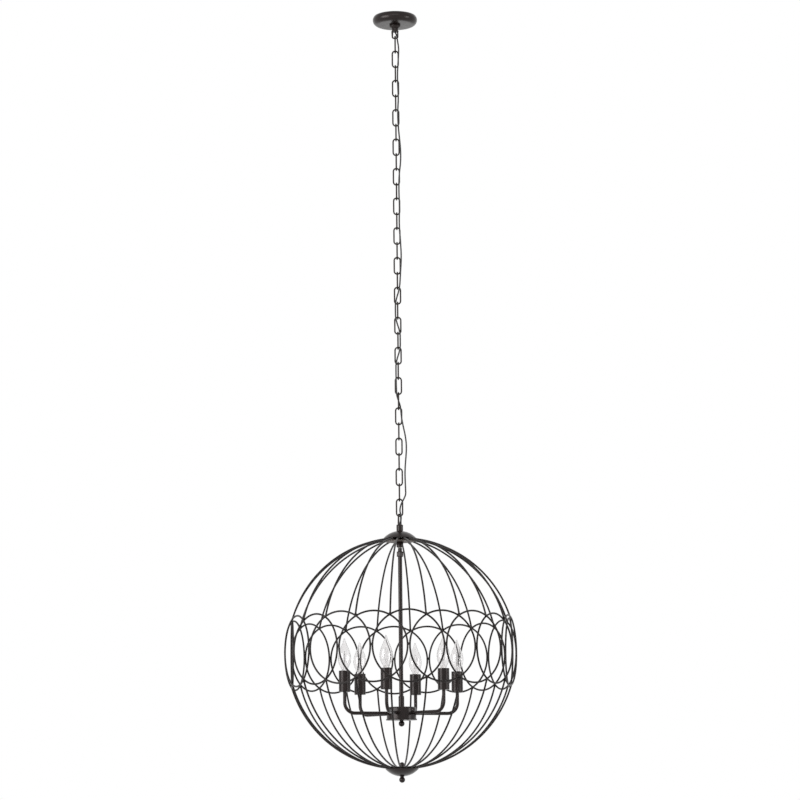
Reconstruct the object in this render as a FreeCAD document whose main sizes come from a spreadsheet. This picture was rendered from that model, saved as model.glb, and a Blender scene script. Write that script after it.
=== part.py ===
import FreeCAD, Part
import math
import os
import Sketcher
from FreeCAD import Placement, Rotation, Vector

# An orb chandelier that hangs from a ceiling box: canopy, chain with its cord, welded wire orb with a
# band of overlapping rings, and a six-arm cluster inside. The origin is in the ceiling plane at the
# middle of the mounting strap, +Z is up and the object hangs to -Z. Millimetres throughout.

RINGS = 20            # rings in the band, half of them in an outer and half in an inner layer
ARMS = 6              # lamp arms, evenly spaced
LINKS = 32            # chain links between the two loops
WIRE_SIDES = 5        # flats of a wire's section, which has the round wire's area
RING_SIDES = 16       # straight runs that stand for a ring's circle
RIB_RUNS = 4          # straight runs that stand for a rib's arc
LINK_END_RUNS = 3     # straight runs that stand for each rounded end of a link
ARM_SIDES = 10        # flats round an arm's tube
CORD_SIDES = 5        # flats round the cord

SIZES = {
    # ceiling side
    "strap_length": 104.0, "strap_width": 20.0, "strap_thickness": 2.0, "strap_drop": 3.0,
    "slot_spacing": 79.4, "slot_width": 5.0, "slot_run": 14.5,
    "ground_screw_offset": 20.0, "ground_screw_radius": 2.0, "ground_head_radius": 4.0,
    "ground_head_height": 2.5,
    "nipple_radius": 4.85, "nipple_bore": 3.4, "locknut_flats": 16.0, "locknut_height": 3.5,
    "canopy_radius": 60.0, "canopy_height": 24.0, "canopy_wall": 1.2, "canopy_edge": 14.0,
    "collar_radius": 14.8, "collar_height": 8.0, "collar_taper": 3.5,
    "barrel_radius": 8.8, "canopy_barrel": 11.0, "loop_width": 18.8, "loop_wire": 2.1,
    "canopy_loop_opening": 15.0, "cord_gland_bore": 5.6,
    # chain
    "link_inner_length": 40.9, "link_width": 20.2, "link_wire": 1.9, "link_gap": 0.3,
    # orb
    "orb_radius": 303.0, "orb_wire": 2.4, "weld_gap": 0.2, "orb_loop_opening": 25.0,
    "orb_barrel": 16.5, "cap_radius": 44.0, "cap_rise": 20.0, "cap_wall": 1.2, "seat_gap": 0.3,
    "plate_radius": 39.0, "plate_thickness": 2.5, "rib_end_radius": 17.0,
    "coupling_radius": 9.0, "coupling_height": 15.0, "stem_nut_flats": 17.0,
    "stem_nut_height": 13.5, "stem_nut_drop": 26.0, "stem_neck": 2.0,
    "stem_radius": 5.5, "stem_wall": 1.0, "stem_coupling_radius": 7.5, "stem_coupling_height": 29.0,
    # lamp cluster, from the orb's middle
    "hub_top": 141.0, "hub_radius": 38.5, "hub_depth": 33.0, "hub_wall": 1.2, "hub_edge": 4.0,
    "cover_radius": 40.5, "cover_lip": 3.6, "arm_radius": 4.5, "arm_drop": 157.0,
    "arm_reach": 152.5, "arm_bend": 27.0, "arm_phase": 15.7,
    "cup_radius": 15.0, "cup_wall": 1.0, "cup_depth": 55.0, "cup_top": 47.5,
    "holder_radius": 13.0, "holder_recess": 1.2, "fit_gap": 0.3,
    "base_radius": 5.85, "base_depth": 22.0, "base_flange": 1.0, "thread_gap": 0.25,
    "glass_neck": 7.5, "glass_radius": 17.0, "glass_height": 84.0,
    "glass_wall": 0.9, "glass_tip": 1.4, "core_radius": 0.6,
    # finials and fasteners
    "finial_radius": 8.0, "finial_neck_radius": 5.7, "finial_neck": 3.0, "rod_radius": 2.9,
    "dome_nut_radius": 7.2, "dome_nut_height": 17.0, "foot_plate_radius": 36.0,
    "connector_radius": 5.5, "connector_length": 19.0, "connector_offset": 17.0,
    # cord
    "cord_radius": 2.0,
}

doc = FreeCAD.newDocument("OrbChandelier")
sheet = doc.addObject("Spreadsheet::Sheet", "Sizes")
for row, (alias, number) in enumerate(SIZES.items(), start=1):
    sheet.set("A%d" % row, alias.replace("_", " "))
    sheet.set("B%d" % row, str(number))
    sheet.setAlias("B%d" % row, alias)
doc.recompute()


class Size:
    """A length with the expression that gives it from the sheet, so that what it sizes stays bound."""

    def __init__(self, number, text):
        self.number = float(number)
        self.text = text

    def __add__(self, other):
        other = sized(other)
        return Size(self.number + other.number, "(%s + %s)" % (self.text, other.text))

    def __sub__(self, other):
        other = sized(other)
        return Size(self.number - other.number, "(%s - %s)" % (self.text, other.text))

    def __mul__(self, other):
        other = sized(other)
        return Size(self.number * other.number, "(%s * %s)" % (self.text, other.text))

    def __truediv__(self, other):
        other = sized(other)
        return Size(self.number / other.number, "(%s / %s)" % (self.text, other.text))

    def __neg__(self):
        return Size(-self.number, "(0 - %s)" % self.text)

    def root(self):
        return Size(math.sqrt(self.number), "sqrt(%s)" % self.text)

    __radd__ = __add__
    __rmul__ = __mul__


def sized(value):
    """A plain number or a Size, as a Size."""
    return value if isinstance(value, Size) else Size(value, "(%.9f)" % value)


def named(alias):
    """The Size of one cell of the sheet."""
    return Size(sheet.get(alias), "Sizes." + alias)


def bind(thing, prop, size):
    """Tie one property of a document object to a Size."""
    thing.setExpression(prop, sized(size).text)


def sine(degrees):
    return math.sin(math.radians(degrees))


def cosine(degrees):
    return math.cos(math.radians(degrees))


S = {alias: named(alias) for alias in SIZES}

# ---- heights and circles that several pieces share ----
canopy_bottom = -S["canopy_height"]
collar_bottom = canopy_bottom - S["collar_height"]
canopy_barrel_bottom = collar_bottom - S["canopy_barrel"]
canopy_bar = canopy_barrel_bottom - S["canopy_loop_opening"]
link_pitch = S["link_inner_length"] - S["link_gap"]
first_link_top = canopy_bar + S["link_gap"]
orb_loop_top = first_link_top - link_pitch * LINKS
orb_barrel_top = orb_loop_top - S["orb_loop_opening"]
orb_cap_top = orb_barrel_top - S["orb_barrel"]
# the caps' rims stand just outside the ribs, which lie on the middle sphere of the two ring layers
layer_step = S["orb_wire"] * 2.1 + S["weld_gap"]
inner_sphere = S["orb_radius"] - layer_step
rib_sphere = S["orb_radius"] - layer_step / 2
rib_level = (rib_sphere * rib_sphere - S["cap_radius"] * S["cap_radius"]).root()
wire_reach = S["orb_wire"] * math.sqrt(2 * math.pi / (WIRE_SIDES * math.sin(2 * math.pi / WIRE_SIDES)))
cap_rim = rib_level + wire_reach + S["seat_gap"]
cap_top = cap_rim + S["cap_rise"]
orb_middle = orb_cap_top - cap_top
plate_top = rib_level - wire_reach - S["seat_gap"]
plate_bottom = plate_top - S["plate_thickness"]
coupling_bottom = plate_bottom - S["coupling_height"]
stem_top = coupling_bottom - S["stem_neck"]
stem_bottom = -(S["hub_top"] - S["stem_coupling_height"] / 2)
hub_bottom = -(S["hub_top"] + S["hub_depth"])
cover_bottom = hub_bottom - S["hub_wall"]
cup_bottom = -(S["cup_top"] + S["cup_depth"])
cup_floor = cup_bottom + S["cup_wall"]


# ---- makers ----
def new_body(label, middle=None, turn=None):
    """A body whose own frame stands at the height given, turned about +Z."""
    body = doc.addObject("PartDesign::Body", label)
    body.Label = label
    body.AllowCompound = True
    if middle is not None or turn is not None:
        height = sized(middle if middle is not None else 0)
        angle = sized(turn if turn is not None else 0)
        bind(body, "Placement.Base.z", height)
        if turn is not None:
            bind(body, "Placement.Rotation.Angle", angle)
    return body


def origin_plane(body, role):
    return [f for f in body.Origin.OriginFeatures if f.Role == role][0]


def sketch_on(body, role, name, offset=None):
    """A sketch on one of the body's origin planes, moved along its normal by a Size."""
    sketch = body.newObject("Sketcher::SketchObject", name)
    sketch.AttachmentSupport = [(origin_plane(body, role), "")]
    sketch.MapMode = "FlatFace"
    if offset is not None:
        bind(sketch, "AttachmentOffset.Base.z", offset)
    return sketch


def place_point(sketch, edge, end, point):
    """Hold one end of an edge at a point whose coordinates are Sizes."""
    for kind, size in (("DistanceX", point[0]), ("DistanceY", point[1])):
        size = sized(size)
        index = sketch.addConstraint(Sketcher.Constraint(kind, -1, 1, edge, end, size.number))
        sketch.setExpression("Constraints[%d]" % index, size.text)


def vector_of(point):
    return Vector(sized(point[0]).number, sized(point[1]).number, 0)


def draw_outline(sketch, corners, closed=True):
    """Straight lines through corners, each held at its own place."""
    count = len(corners)
    lines = count if closed else count - 1
    for k in range(lines):
        ends = vector_of(corners[k]), vector_of(corners[(k + 1) % count])
        sketch.addGeometry(Part.LineSegment(*ends), False)
    for k in range(lines):
        place_point(sketch, k, 1, corners[k])
        if k + 1 < lines or closed:
            sketch.addConstraint(Sketcher.Constraint("Coincident", k, 2, (k + 1) % lines, 1))
    if not closed:
        place_point(sketch, lines - 1, 2, corners[-1])
    return sketch


def draw_slot(sketch, middle, run, radius):
    """A round-ended slot along X, each line end and arc centre held at its own place."""
    reach = run / 2 - radius
    left, right = middle - reach, middle + reach
    corners = [(left, -radius), (right, -radius), (right, radius), (left, radius)]
    points = [vector_of(corner) for corner in corners]
    tips = [vector_of((right + radius, 0.0)), vector_of((left - radius, 0.0))]
    for k in (0, 1):
        first, second, third = points[2 * k], points[2 * k + 1], points[(2 * k + 2) % 4]
        sketch.addGeometry(Part.LineSegment(first, second), False)
        sketch.addGeometry(Part.Arc(second, tips[k], third), False)
    for k in (0, 1):
        place_point(sketch, 2 * k, 1, corners[2 * k])
        place_point(sketch, 2 * k, 2, corners[2 * k + 1])
    for k, centre in ((0, right), (1, left)):
        # an arc's start lies on the line before it and its end on the line after it
        sketch.addConstraint(Sketcher.Constraint("Coincident", 2 * k + 1, 1, 2 * k, 2))
        sketch.addConstraint(Sketcher.Constraint("Coincident", 2 * k + 1, 2, (2 * k + 2) % 4, 1))
        index = sketch.addConstraint(Sketcher.Constraint("DistanceX", -1, 1, 2 * k + 1, 3,
                                                         centre.number))
        sketch.setExpression("Constraints[%d]" % index, centre.text)
    return sketch


def turned(label, corners, middle=None, turn=None, body=None):
    """A piece turned about its own +Z axis from a profile of (radius, height) corners."""
    body = body or new_body(label, middle, turn)
    widest = max(sized(corner[0]).number for corner in corners)
    spun(body, label, corners, 24 if widest > 25 else 16 if widest > 6 else 12)
    return body


def spun(body, name, corners, sides, centre=0.0):
    """A profile of (radius, height) corners carried round a regular polygon about a standing axis.

    Its flats stand at the profile's own radii. A corner on the axis starts a thin core instead.
    """
    core = S["core_radius"]
    on_axis = [k for k, corner in enumerate(corners) if sized(corner[0]).number < core.number]
    section = []
    for k, (radius, height) in enumerate(corners):
        section.append((sized(core if k in on_axis else radius) + centre, height))
    widest = max(sized(corner[0]).number for corner in corners)
    spine = sketch_on(body, "XY_Plane", name + "_round")
    draw_outline(spine, polygon(sized(widest / cosine(180.0 / sides)), sides, 180.0 / sides,
                                (sized(centre), 0.0)))
    profile = draw_outline(sketch_on(body, "XZ_Plane", name + "_profile"), section)
    doc.recompute()
    made = [piped(body, name + "_turned", spine, sides, profile)]
    if on_axis:
        doc.recompute()
        ends = sorted((sized(corners[k][1]) for k in on_axis), key=lambda size: size.number)
        disc = sketch_on(body, "XY_Plane", name + "_core", ends[0])
        draw_outline(disc, polygon(core / cosine(180.0 / sides), sides, 180.0 / sides,
                                   (sized(centre), 0.0)))
        made.append(padded_up(body, name + "_core_pad", disc, ends[-1] - ends[0]))
    return made


def polygon(radius, sides, first=0.0, centre=(0.0, 0.0)):
    """Corners of a regular polygon, its first one at an angle in degrees."""
    corners = []
    for k in range(sides):
        angle = first + 360.0 * k / sides
        corners.append((centre[0] + radius * cosine(angle), centre[1] + radius * sine(angle)))
    return corners


def flat_radius(flats, sides):
    """The corner radius of a polygon from its width across flats."""
    return flats / (2 * cosine(180.0 / sides))


def same_area(radius, sides):
    """The corner radius of the polygon that has a circle's area."""
    return radius * math.sqrt(2 * math.pi / (sides * sine(360.0 / sides)))


def piped(body, name, spine, edges, section, closed_corner="Right corner"):
    """A bar of constant section along a sketch's path, with mitred corners."""
    pipe = body.newObject("PartDesign::AdditivePipe", name)
    pipe.Profile = (section, [""])
    pipe.Spine = (spine, ["Edge%d" % (k + 1) for k in range(edges)])
    pipe.Transition = closed_corner
    body.Tip = pipe
    return pipe


def repeated(body, feature, name, count):
    """Copies of a feature, evenly spaced about the body's +Z axis."""
    pattern = body.newObject("PartDesign::PolarPattern", name)
    pattern.Originals = feature if isinstance(feature, list) else [feature]
    pattern.Axis = (origin_plane(body, "Z_Axis"), [""])
    pattern.Angle = 360
    pattern.Occurrences = count
    body.Tip = pattern
    return pattern


def cut_through(body, name, sketch, length, backwards=False):
    """A pocket of one length, from its sketch's plane."""
    pocket = body.newObject("PartDesign::Pocket", name)
    pocket.Profile = sketch
    bind(pocket, "Length", length)
    pocket.Reversed = backwards
    body.Tip = pocket
    return pocket


def padded_up(body, name, sketch, length):
    pad = body.newObject("PartDesign::Pad", name)
    pad.Profile = sketch
    bind(pad, "Length", length)
    body.Tip = pad
    return pad


def tube_profile(outer, inner, bottom, top):
    return [(inner, bottom), (outer, bottom), (outer, top), (inner, top)]


# ---- ceiling side ----
def mounting_strap():
    """A steel crossbar whose two slots take the ceiling box's screws."""
    body = new_body("mounting_strap")
    half_length = S["strap_length"] / 2
    half_width = S["strap_width"] / 2
    top = -S["strap_drop"]
    plate = draw_outline(sketch_on(body, "XY_Plane", "strap_outline", top - S["strap_thickness"]), [
        (-half_length, -half_width), (half_length, -half_width),
        (half_length, half_width), (-half_length, half_width)])
    padded_up(body, "strap_plate", plate, S["strap_thickness"])
    doc.recompute()
    for side in (-1, 1):
        # each slot is centred on one box screw
        sketch = sketch_on(body, "XY_Plane", "slot_%s" % ("left" if side < 0 else "right"), top)
        draw_slot(sketch, S["slot_spacing"] / 2 * side, S["slot_run"], S["slot_width"] / 2)
        cut_through(body, "slot_cut_%d" % (side + 1), sketch, S["strap_thickness"])
    for name, across, middle in (
            ("nipple_hole", S["nipple_radius"] + S["thread_gap"], sized(0)),
            ("ground_hole", S["ground_screw_radius"] + S["thread_gap"], S["ground_screw_offset"])):
        sketch = sketch_on(body, "XY_Plane", name, top)
        draw_outline(sketch, polygon(across / cosine(15), 12, 0.0, (middle, 0.0)))
        cut_through(body, name + "_cut", sketch, S["strap_thickness"])
    return body


def ground_screw():
    """The screw that holds the bare earth wire, screwed up through the strap from below."""
    body = new_body("ground_screw")
    bottom = -(S["strap_drop"] + S["strap_thickness"])
    for name, radius, start, length in (
            ("head", S["ground_head_radius"], bottom - S["ground_head_height"],
             S["ground_head_height"]),
            ("shank", S["ground_screw_radius"], bottom,
             S["strap_thickness"] + S["strap_drop"] - S["seat_gap"])):
        sketch = sketch_on(body, "XY_Plane", "ground_" + name, start)
        draw_outline(sketch, polygon(radius, 8, 22.5, (S["ground_screw_offset"], 0.0)))
        padded_up(body, "ground_" + name + "_pad", sketch, length)
    return body


def nut(label, flats, bottom, height, bore, middle=None):
    """A hexagon nut round a threaded tube."""
    body = new_body(label, middle)
    sketch = sketch_on(body, "XY_Plane", label + "_flats", bottom)
    draw_outline(sketch, polygon(flat_radius(flats, 6), 6))
    padded_up(body, label + "_pad", sketch, height)
    doc.recompute()
    hole = sketch_on(body, "XY_Plane", label + "_bore", bottom + height)
    draw_outline(hole, polygon(bore / cosine(15), 12))
    cut_through(body, label + "_cut", hole, height)
    return body


def canopy():
    """The dished cover plate: an open spun shell whose rim meets the ceiling."""
    radius = S["canopy_radius"]
    edge = S["canopy_edge"]
    wall = S["canopy_wall"]
    bottom = canopy_bottom
    bore = S["barrel_radius"] + S["fit_gap"]
    outer = [(bore, bottom)]
    inner = []
    for angle in (0, 30, 60, 90):
        outer.append((radius - edge + edge * sine(angle), bottom + edge - edge * cosine(angle)))
    for angle in (90, 45, 0):
        reach = edge - wall
        inner.append((radius - edge + reach * sine(angle), bottom + edge - reach * cosine(angle)))
    corners = outer + [(radius, 0.0), (radius - wall, 0.0)] + inner + [(bore, bottom + wall)]
    return turned("canopy", corners)


def screw_collar():
    """The ring that screws up the loop's thread and holds the canopy to the ceiling."""
    bore = S["barrel_radius"] + S["thread_gap"]
    top = canopy_bottom - S["seat_gap"]
    middle = canopy_bottom - S["collar_height"] / 2
    return turned("screw_collar", [
        (bore, collar_bottom), (S["collar_radius"] - S["collar_taper"], collar_bottom),
        (S["collar_radius"], middle), (S["collar_radius"], top), (bore, top)])


def cast_loop(label, barrel_bottom, barrel_top, bar, up, middle=None, turn=None):
    """A cast loop on a bored barrel: the bar that the chain hangs on lies on the far side of its opening."""
    body = new_body(label, middle, turn)
    bore = S["cord_gland_bore"] / 2
    radius = S["barrel_radius"]
    turned(label, tube_profile(radius, bore, barrel_bottom, barrel_top), body=body)
    doc.recompute()
    foot = barrel_top if up else barrel_bottom
    sign = 1 if up else -1
    wire = S["loop_wire"]
    side = S["loop_width"] / 2 - wire
    tip = bar + wire * sign
    shoulder = tip - side * (0.55 * sign)
    spine = sketch_on(body, "XZ_Plane", label + "_bow_path")
    draw_outline(spine, [
        (side * 0.72, foot - wire * sign), (side, foot + wire * sign), (side, shoulder), (side * 0.62, tip),
        (side * -0.62, tip), (-side, shoulder), (-side, foot + wire * sign),
        (side * -0.72, foot - wire * sign)], closed=False)
    section = sketch_on(body, "YZ_Plane", label + "_bow_section")
    draw_outline(section, polygon(same_area(wire, 8), 8, 22.5, (0.0, tip)))
    doc.recompute()
    piped(body, label + "_bow", spine, 7, section)
    return body


def connectors(label, places, middle=None):
    """Twist-on wire connectors: a ribbed cone each, standing over the wires' ends."""
    body = new_body(label, middle)
    for k, (across, bottom) in enumerate(places):
        rows = [(S["connector_radius"] * scale, sized(bottom) + S["connector_length"] * height)
                for height, scale in ((0.0, 1.0), (0.55, 0.85), (1.0, 0.45))]
        spun(body, "%s_%d" % (label, k), [(0.0, rows[0][1])] + rows + [(0.0, rows[-1][1])], 6, across)
        doc.recompute()
    return body


# ---- chain ----
def link_path(top):
    """Corners of one link's middle line, from the inner top of its opening."""
    wire = S["link_wire"]
    bend = S["link_width"] / 2 - wire
    flat = bend * cosine(90.0 / LINK_END_RUNS)
    upper = top + wire - flat
    lower = top - S["link_inner_length"] - wire + flat
    corners = []
    for centre, start in ((upper, 0.0), (lower, 180.0)):
        for k in range(LINK_END_RUNS + 1):
            angle = start + 180.0 * k / LINK_END_RUNS
            corners.append((bend * cosine(angle), centre + bend * sine(angle)))
    return corners


def add_link(body, name, top, across):
    """One closed link whose plane is the body's XZ plane, or its YZ plane when it hangs across."""
    role, section_role = ("YZ_Plane", "XZ_Plane") if across else ("XZ_Plane", "YZ_Plane")
    spine = sketch_on(body, role, name + "_path")
    draw_outline(spine, link_path(top))
    section = sketch_on(body, section_role, name + "_section")
    wire = S["link_wire"]
    draw_outline(section, polygon(same_area(wire, WIRE_SIDES), WIRE_SIDES, 30.0, (0.0, top + wire)))
    doc.recompute()
    return piped(body, name + "_bar", spine, 2 * LINK_END_RUNS + 2, section)


def single_link(label, number, across):
    """One link by itself, its own frame at the inner top of its opening."""
    body = new_body(label, first_link_top - link_pitch * (number - 1))
    add_link(body, label, sized(0), across)
    return body


def chain_links():
    """The links between the first and the last, in pairs at right angles."""
    body = new_body("chain_links", first_link_top - link_pitch)
    facing = add_link(body, "facing_link", sized(0), across=False)
    crossing = add_link(body, "crossing_link", -link_pitch, across=True)
    pattern = body.newObject("PartDesign::LinearPattern", "link_pairs")
    pattern.Originals = [facing, crossing]
    pattern.Direction = (origin_plane(body, "Z_Axis"), [""])
    pattern.Reversed = True
    pattern.Mode = "Spacing"
    bind(pattern, "Offset", link_pitch * 2)
    pattern.Occurrences = (LINKS - 2) // 2
    body.Tip = pattern
    return body


# ---- orb ----
def ring_circle(sphere):
    """How far a ring's plane stands from the axis, and the ring's radius, on one sphere."""
    step = 360.0 / RINGS
    # a circle in a plane at distance d reaches its neighbour at d * tan(step)
    slope = sine(step) / cosine(step)
    margin = wire_reach / cosine(step) + S["weld_gap"] / 2
    # d is where d * d + (d * slope - margin) ** 2 = sphere ** 2
    square = 1 + slope * slope
    distance = (margin * slope + (sphere * sphere * square - margin * margin).root()) / square
    return distance, distance * slope - margin


def ring_layer(label, sphere, first_angle):
    """Every second ring of the band: flat circles on one sphere that meet side by side."""
    body = new_body(label, orb_middle)
    wire = wire_reach
    distance, radius = ring_circle(sphere)
    spine = sketch_on(body, "XZ_Plane", label + "_circle", distance)
    # the middles of the polygon's flats lie on the circle
    draw_outline(spine, polygon(radius / cosine(180.0 / RING_SIDES), RING_SIDES, 180.0 / RING_SIDES))
    section = sketch_on(body, "XY_Plane", label + "_section")
    draw_outline(section, polygon(wire, WIRE_SIDES, 0.0, (radius, -distance)))
    doc.recompute()
    pipe = piped(body, label + "_ring", spine, RING_SIDES, section)
    repeated(body, pipe, label + "_round", RINGS // 2)
    bind(body, "Placement.Rotation.Angle", sized(first_angle))
    return body


def rib_layer(label, sign):
    """Twenty meridian wires, from the rings' crossings to the plate under the cap."""
    body = new_body(label, orb_middle)
    half_step = 180.0 / RINGS
    # neighbouring rings cross half a step from each one's middle
    distance, radius = ring_circle(S["orb_radius"])
    aside = distance.number * sine(half_step) / cosine(half_step)
    # the flat of each ring's polygon that holds the crossing
    circle_rise = math.sqrt(radius.number ** 2 - aside ** 2)
    step = 360.0 / RING_SIDES
    flat = step * round(math.degrees(math.atan2(circle_rise, aside)) / step)
    rise = (radius.number - aside * cosine(flat)) / sine(flat)
    crossing = math.degrees(math.asin(rise / rib_sphere.number))
    # each rib ends in the notch above a crossing, clear of both wires
    lean = 90.0 - flat
    notch = (wire_reach.number * (1 + sine(lean)) + S["weld_gap"].number) / cosine(lean)
    first_angle = crossing + math.degrees(notch / rib_sphere.number)
    last_angle = math.degrees(math.acos(S["cap_radius"].number / rib_sphere.number))
    corners = []
    for k in range(RIB_RUNS):
        angle = first_angle + (last_angle - first_angle) * k / RIB_RUNS
        corners.append((rib_sphere * cosine(angle), rib_sphere * (sign * sine(angle))))
    corners.append((S["cap_radius"], rib_level * sign))
    corners.append((S["rib_end_radius"], rib_level * sign))
    spine = sketch_on(body, "XZ_Plane", label + "_path")
    draw_outline(spine, corners, closed=False)
    section = sketch_on(body, "YZ_Plane", label + "_section", S["rib_end_radius"])
    draw_outline(section, polygon(wire_reach, WIRE_SIDES, 0.0, (0.0, rib_level * sign)))
    doc.recompute()
    pipe = piped(body, label + "_rib", spine, RIB_RUNS + 1, section)
    repeated(body, pipe, label + "_round", RINGS)
    bind(body, "Placement.Rotation.Angle", sized(rib_phase))
    return body


def end_cap(label, sign, hole):
    """A spun dome that closes the wires' gathered ends."""
    radius = S["cap_radius"]
    rise = S["cap_rise"]
    wall = S["cap_wall"]
    rows = ((1.0, 0.0), (0.965, 0.3), (0.84, 0.62), (0.6, 0.86), (0.3, 0.98))
    outer = [(radius * across, (cap_rim + rise * up) * sign) for across, up in rows]
    inner = [((radius - wall) * across, (cap_rim + (rise - wall) * up) * sign) for across, up in rows]
    tip = [(hole, cap_top * sign), (hole, (cap_top - wall) * sign)]
    return turned(label, outer + tip + inner[::-1], orb_middle)


def weld_plate(label, radius, hole, lower, upper):
    """The flat disc that the ribs' ends are welded to."""
    return turned(label, tube_profile(radius, hole, lower, upper), orb_middle)


def threaded_tube(label, bottom, top, middle=None):
    return turned(label, tube_profile(S["nipple_radius"], S["nipple_bore"], bottom, top), middle)


def finial(label, seat):
    """A ball with a short neck that screws up against the cover or cap."""
    radius = S["finial_radius"]
    centre = seat - S["finial_neck"] - (radius * radius
                                        - S["finial_neck_radius"] * S["finial_neck_radius"]).root()
    corners = [(0.0, seat), (S["finial_neck_radius"], seat)]
    start = 45.4
    for k in range(5):
        angle = start - (start + 90.0) * k / 4
        corners.append((radius * cosine(angle), centre + radius * sine(angle)))
    corners[-1] = (sized(0.0), centre - radius)
    return turned(label, corners, orb_middle)


# ---- lamp cluster ----
def hub_body():
    """The spun bowl that the six arms enter, open below until its cover closes it."""
    radius = S["hub_radius"]
    wall = S["hub_wall"]
    top = -S["hub_top"]
    edge = S["hub_edge"]
    hole = S["nipple_radius"] + S["fit_gap"]
    body = turned("hub_body", [
        (hole, top - wall), (radius - edge, top - wall), (radius - wall, top - edge),
        (radius - wall, hub_bottom), (radius, hub_bottom), (radius, top - edge),
        (radius - edge, top), (hole, top)], orb_middle, S["arm_phase"])
    doc.recompute()
    hole_sketch = sketch_on(body, "YZ_Plane", "arm_hole", radius + wall)
    draw_outline(hole_sketch, polygon(same_area(S["arm_radius"], ARM_SIDES) + S["weld_gap"],
                                      ARM_SIDES, 18.0, (0.0, -S["arm_drop"])))
    cut = cut_through(body, "arm_hole_cut", hole_sketch, wall * 4)
    doc.recompute()
    repeated(body, cut, "arm_holes", ARMS)
    return body


def arm(number):
    """One bent tube from inside the hub to the floor of its socket cup."""
    body = new_body("arm_%d" % number, orb_middle, S["arm_phase"] + 360.0 / ARMS * (number - 1))
    start = S["hub_radius"] - S["hub_wall"] - 4.0
    level = -S["arm_drop"]
    reach = S["arm_reach"]
    bend = S["arm_bend"]
    # a bend of four runs whose middles touch the true arc
    corners = [(start, level)]
    runs = 4
    corner_radius = bend / cosine(45.0 / runs)
    for k in range(runs):
        angle = -90.0 + 90.0 * (k + 0.5) / runs
        corners.append((reach - bend + corner_radius * cosine(angle),
                        level + bend + corner_radius * sine(angle)))
    corners.append((reach, cup_floor + S["seat_gap"]))
    spine = sketch_on(body, "XZ_Plane", "arm_path_%d" % number)
    draw_outline(spine, corners, closed=False)
    section = sketch_on(body, "YZ_Plane", "arm_section_%d" % number, start)
    draw_outline(section, polygon(same_area(S["arm_radius"], ARM_SIDES), ARM_SIDES, 18.0, (0.0, level)))
    doc.recompute()
    piped(body, "arm_tube_%d" % number, spine, runs + 1, section)
    return body


def lathe_facets(body, name, rows, sides, centre):
    """A standing form of straight-sided rings: a loft through polygons of (radius, height)."""
    sections = []
    for k, (radius, height) in enumerate(rows):
        sketch = sketch_on(body, "XY_Plane", "%s_%d" % (name, k), height)
        draw_outline(sketch, polygon(radius, sides, 180.0 / sides, (centre, 0.0)))
        sections.append(sketch)
    doc.recompute()
    return sections


def round_loft(body, name, rows, sides, centre, hollow=False):
    sections = lathe_facets(body, name, rows, sides, centre)
    kind = "PartDesign::SubtractiveLoft" if hollow else "PartDesign::AdditiveLoft"
    loft = body.newObject(kind, name + "_loft")
    loft.Profile = sections[0]
    loft.Sections = sections[1:]
    loft.Ruled = True
    body.Tip = loft
    return loft


CUP_SIDES = 10


def socket_cups():
    """Six deep metal cups that cover the lampholders."""
    body = new_body("socket_cups", orb_middle, S["arm_phase"])
    top = -S["cup_top"]
    centre = S["arm_reach"]
    radius = S["cup_radius"]
    inside = radius - S["cup_wall"]
    grow = 1 / cosine(180.0 / CUP_SIDES)
    shell = round_loft(body, "cup", [(radius * grow, cup_bottom), (radius * grow, top)],
                       CUP_SIDES, centre)
    doc.recompute()
    room = round_loft(body, "cup_room", [(inside * grow, cup_floor), (inside * grow, top)],
                      CUP_SIDES, centre, hollow=True)
    doc.recompute()
    bore = S["arm_radius"] * 1.05 + S["weld_gap"] * 2
    hole = round_loft(body, "cup_hole", [(bore, cup_bottom), (bore, cup_floor)], 10, centre, hollow=True)
    doc.recompute()
    repeated(body, [shell, room, hole], "cups_round", ARMS)
    return body


def lampholders():
    """Six insulating lampholders, one inside each cup, bored for the small screw base."""
    body = new_body("lampholders", orb_middle, S["arm_phase"])
    top = -(S["cup_top"] + S["holder_recess"])
    bottom = cup_floor + S["seat_gap"] * 2
    centre = S["arm_reach"]
    outer = round_loft(body, "holder", [(S["holder_radius"], bottom), (S["holder_radius"], top)],
                       CUP_SIDES, centre)
    doc.recompute()
    bore = (S["base_radius"] + S["thread_gap"]) / cosine(180.0 / CUP_SIDES)
    floor = top - S["base_depth"] - S["seat_gap"]
    room = round_loft(body, "holder_bore", [(bore, floor), (bore, top)], CUP_SIDES, centre, hollow=True)
    doc.recompute()
    repeated(body, [outer, room], "holders_round", ARMS)
    return body


BULB_SIDES = 10


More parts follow.
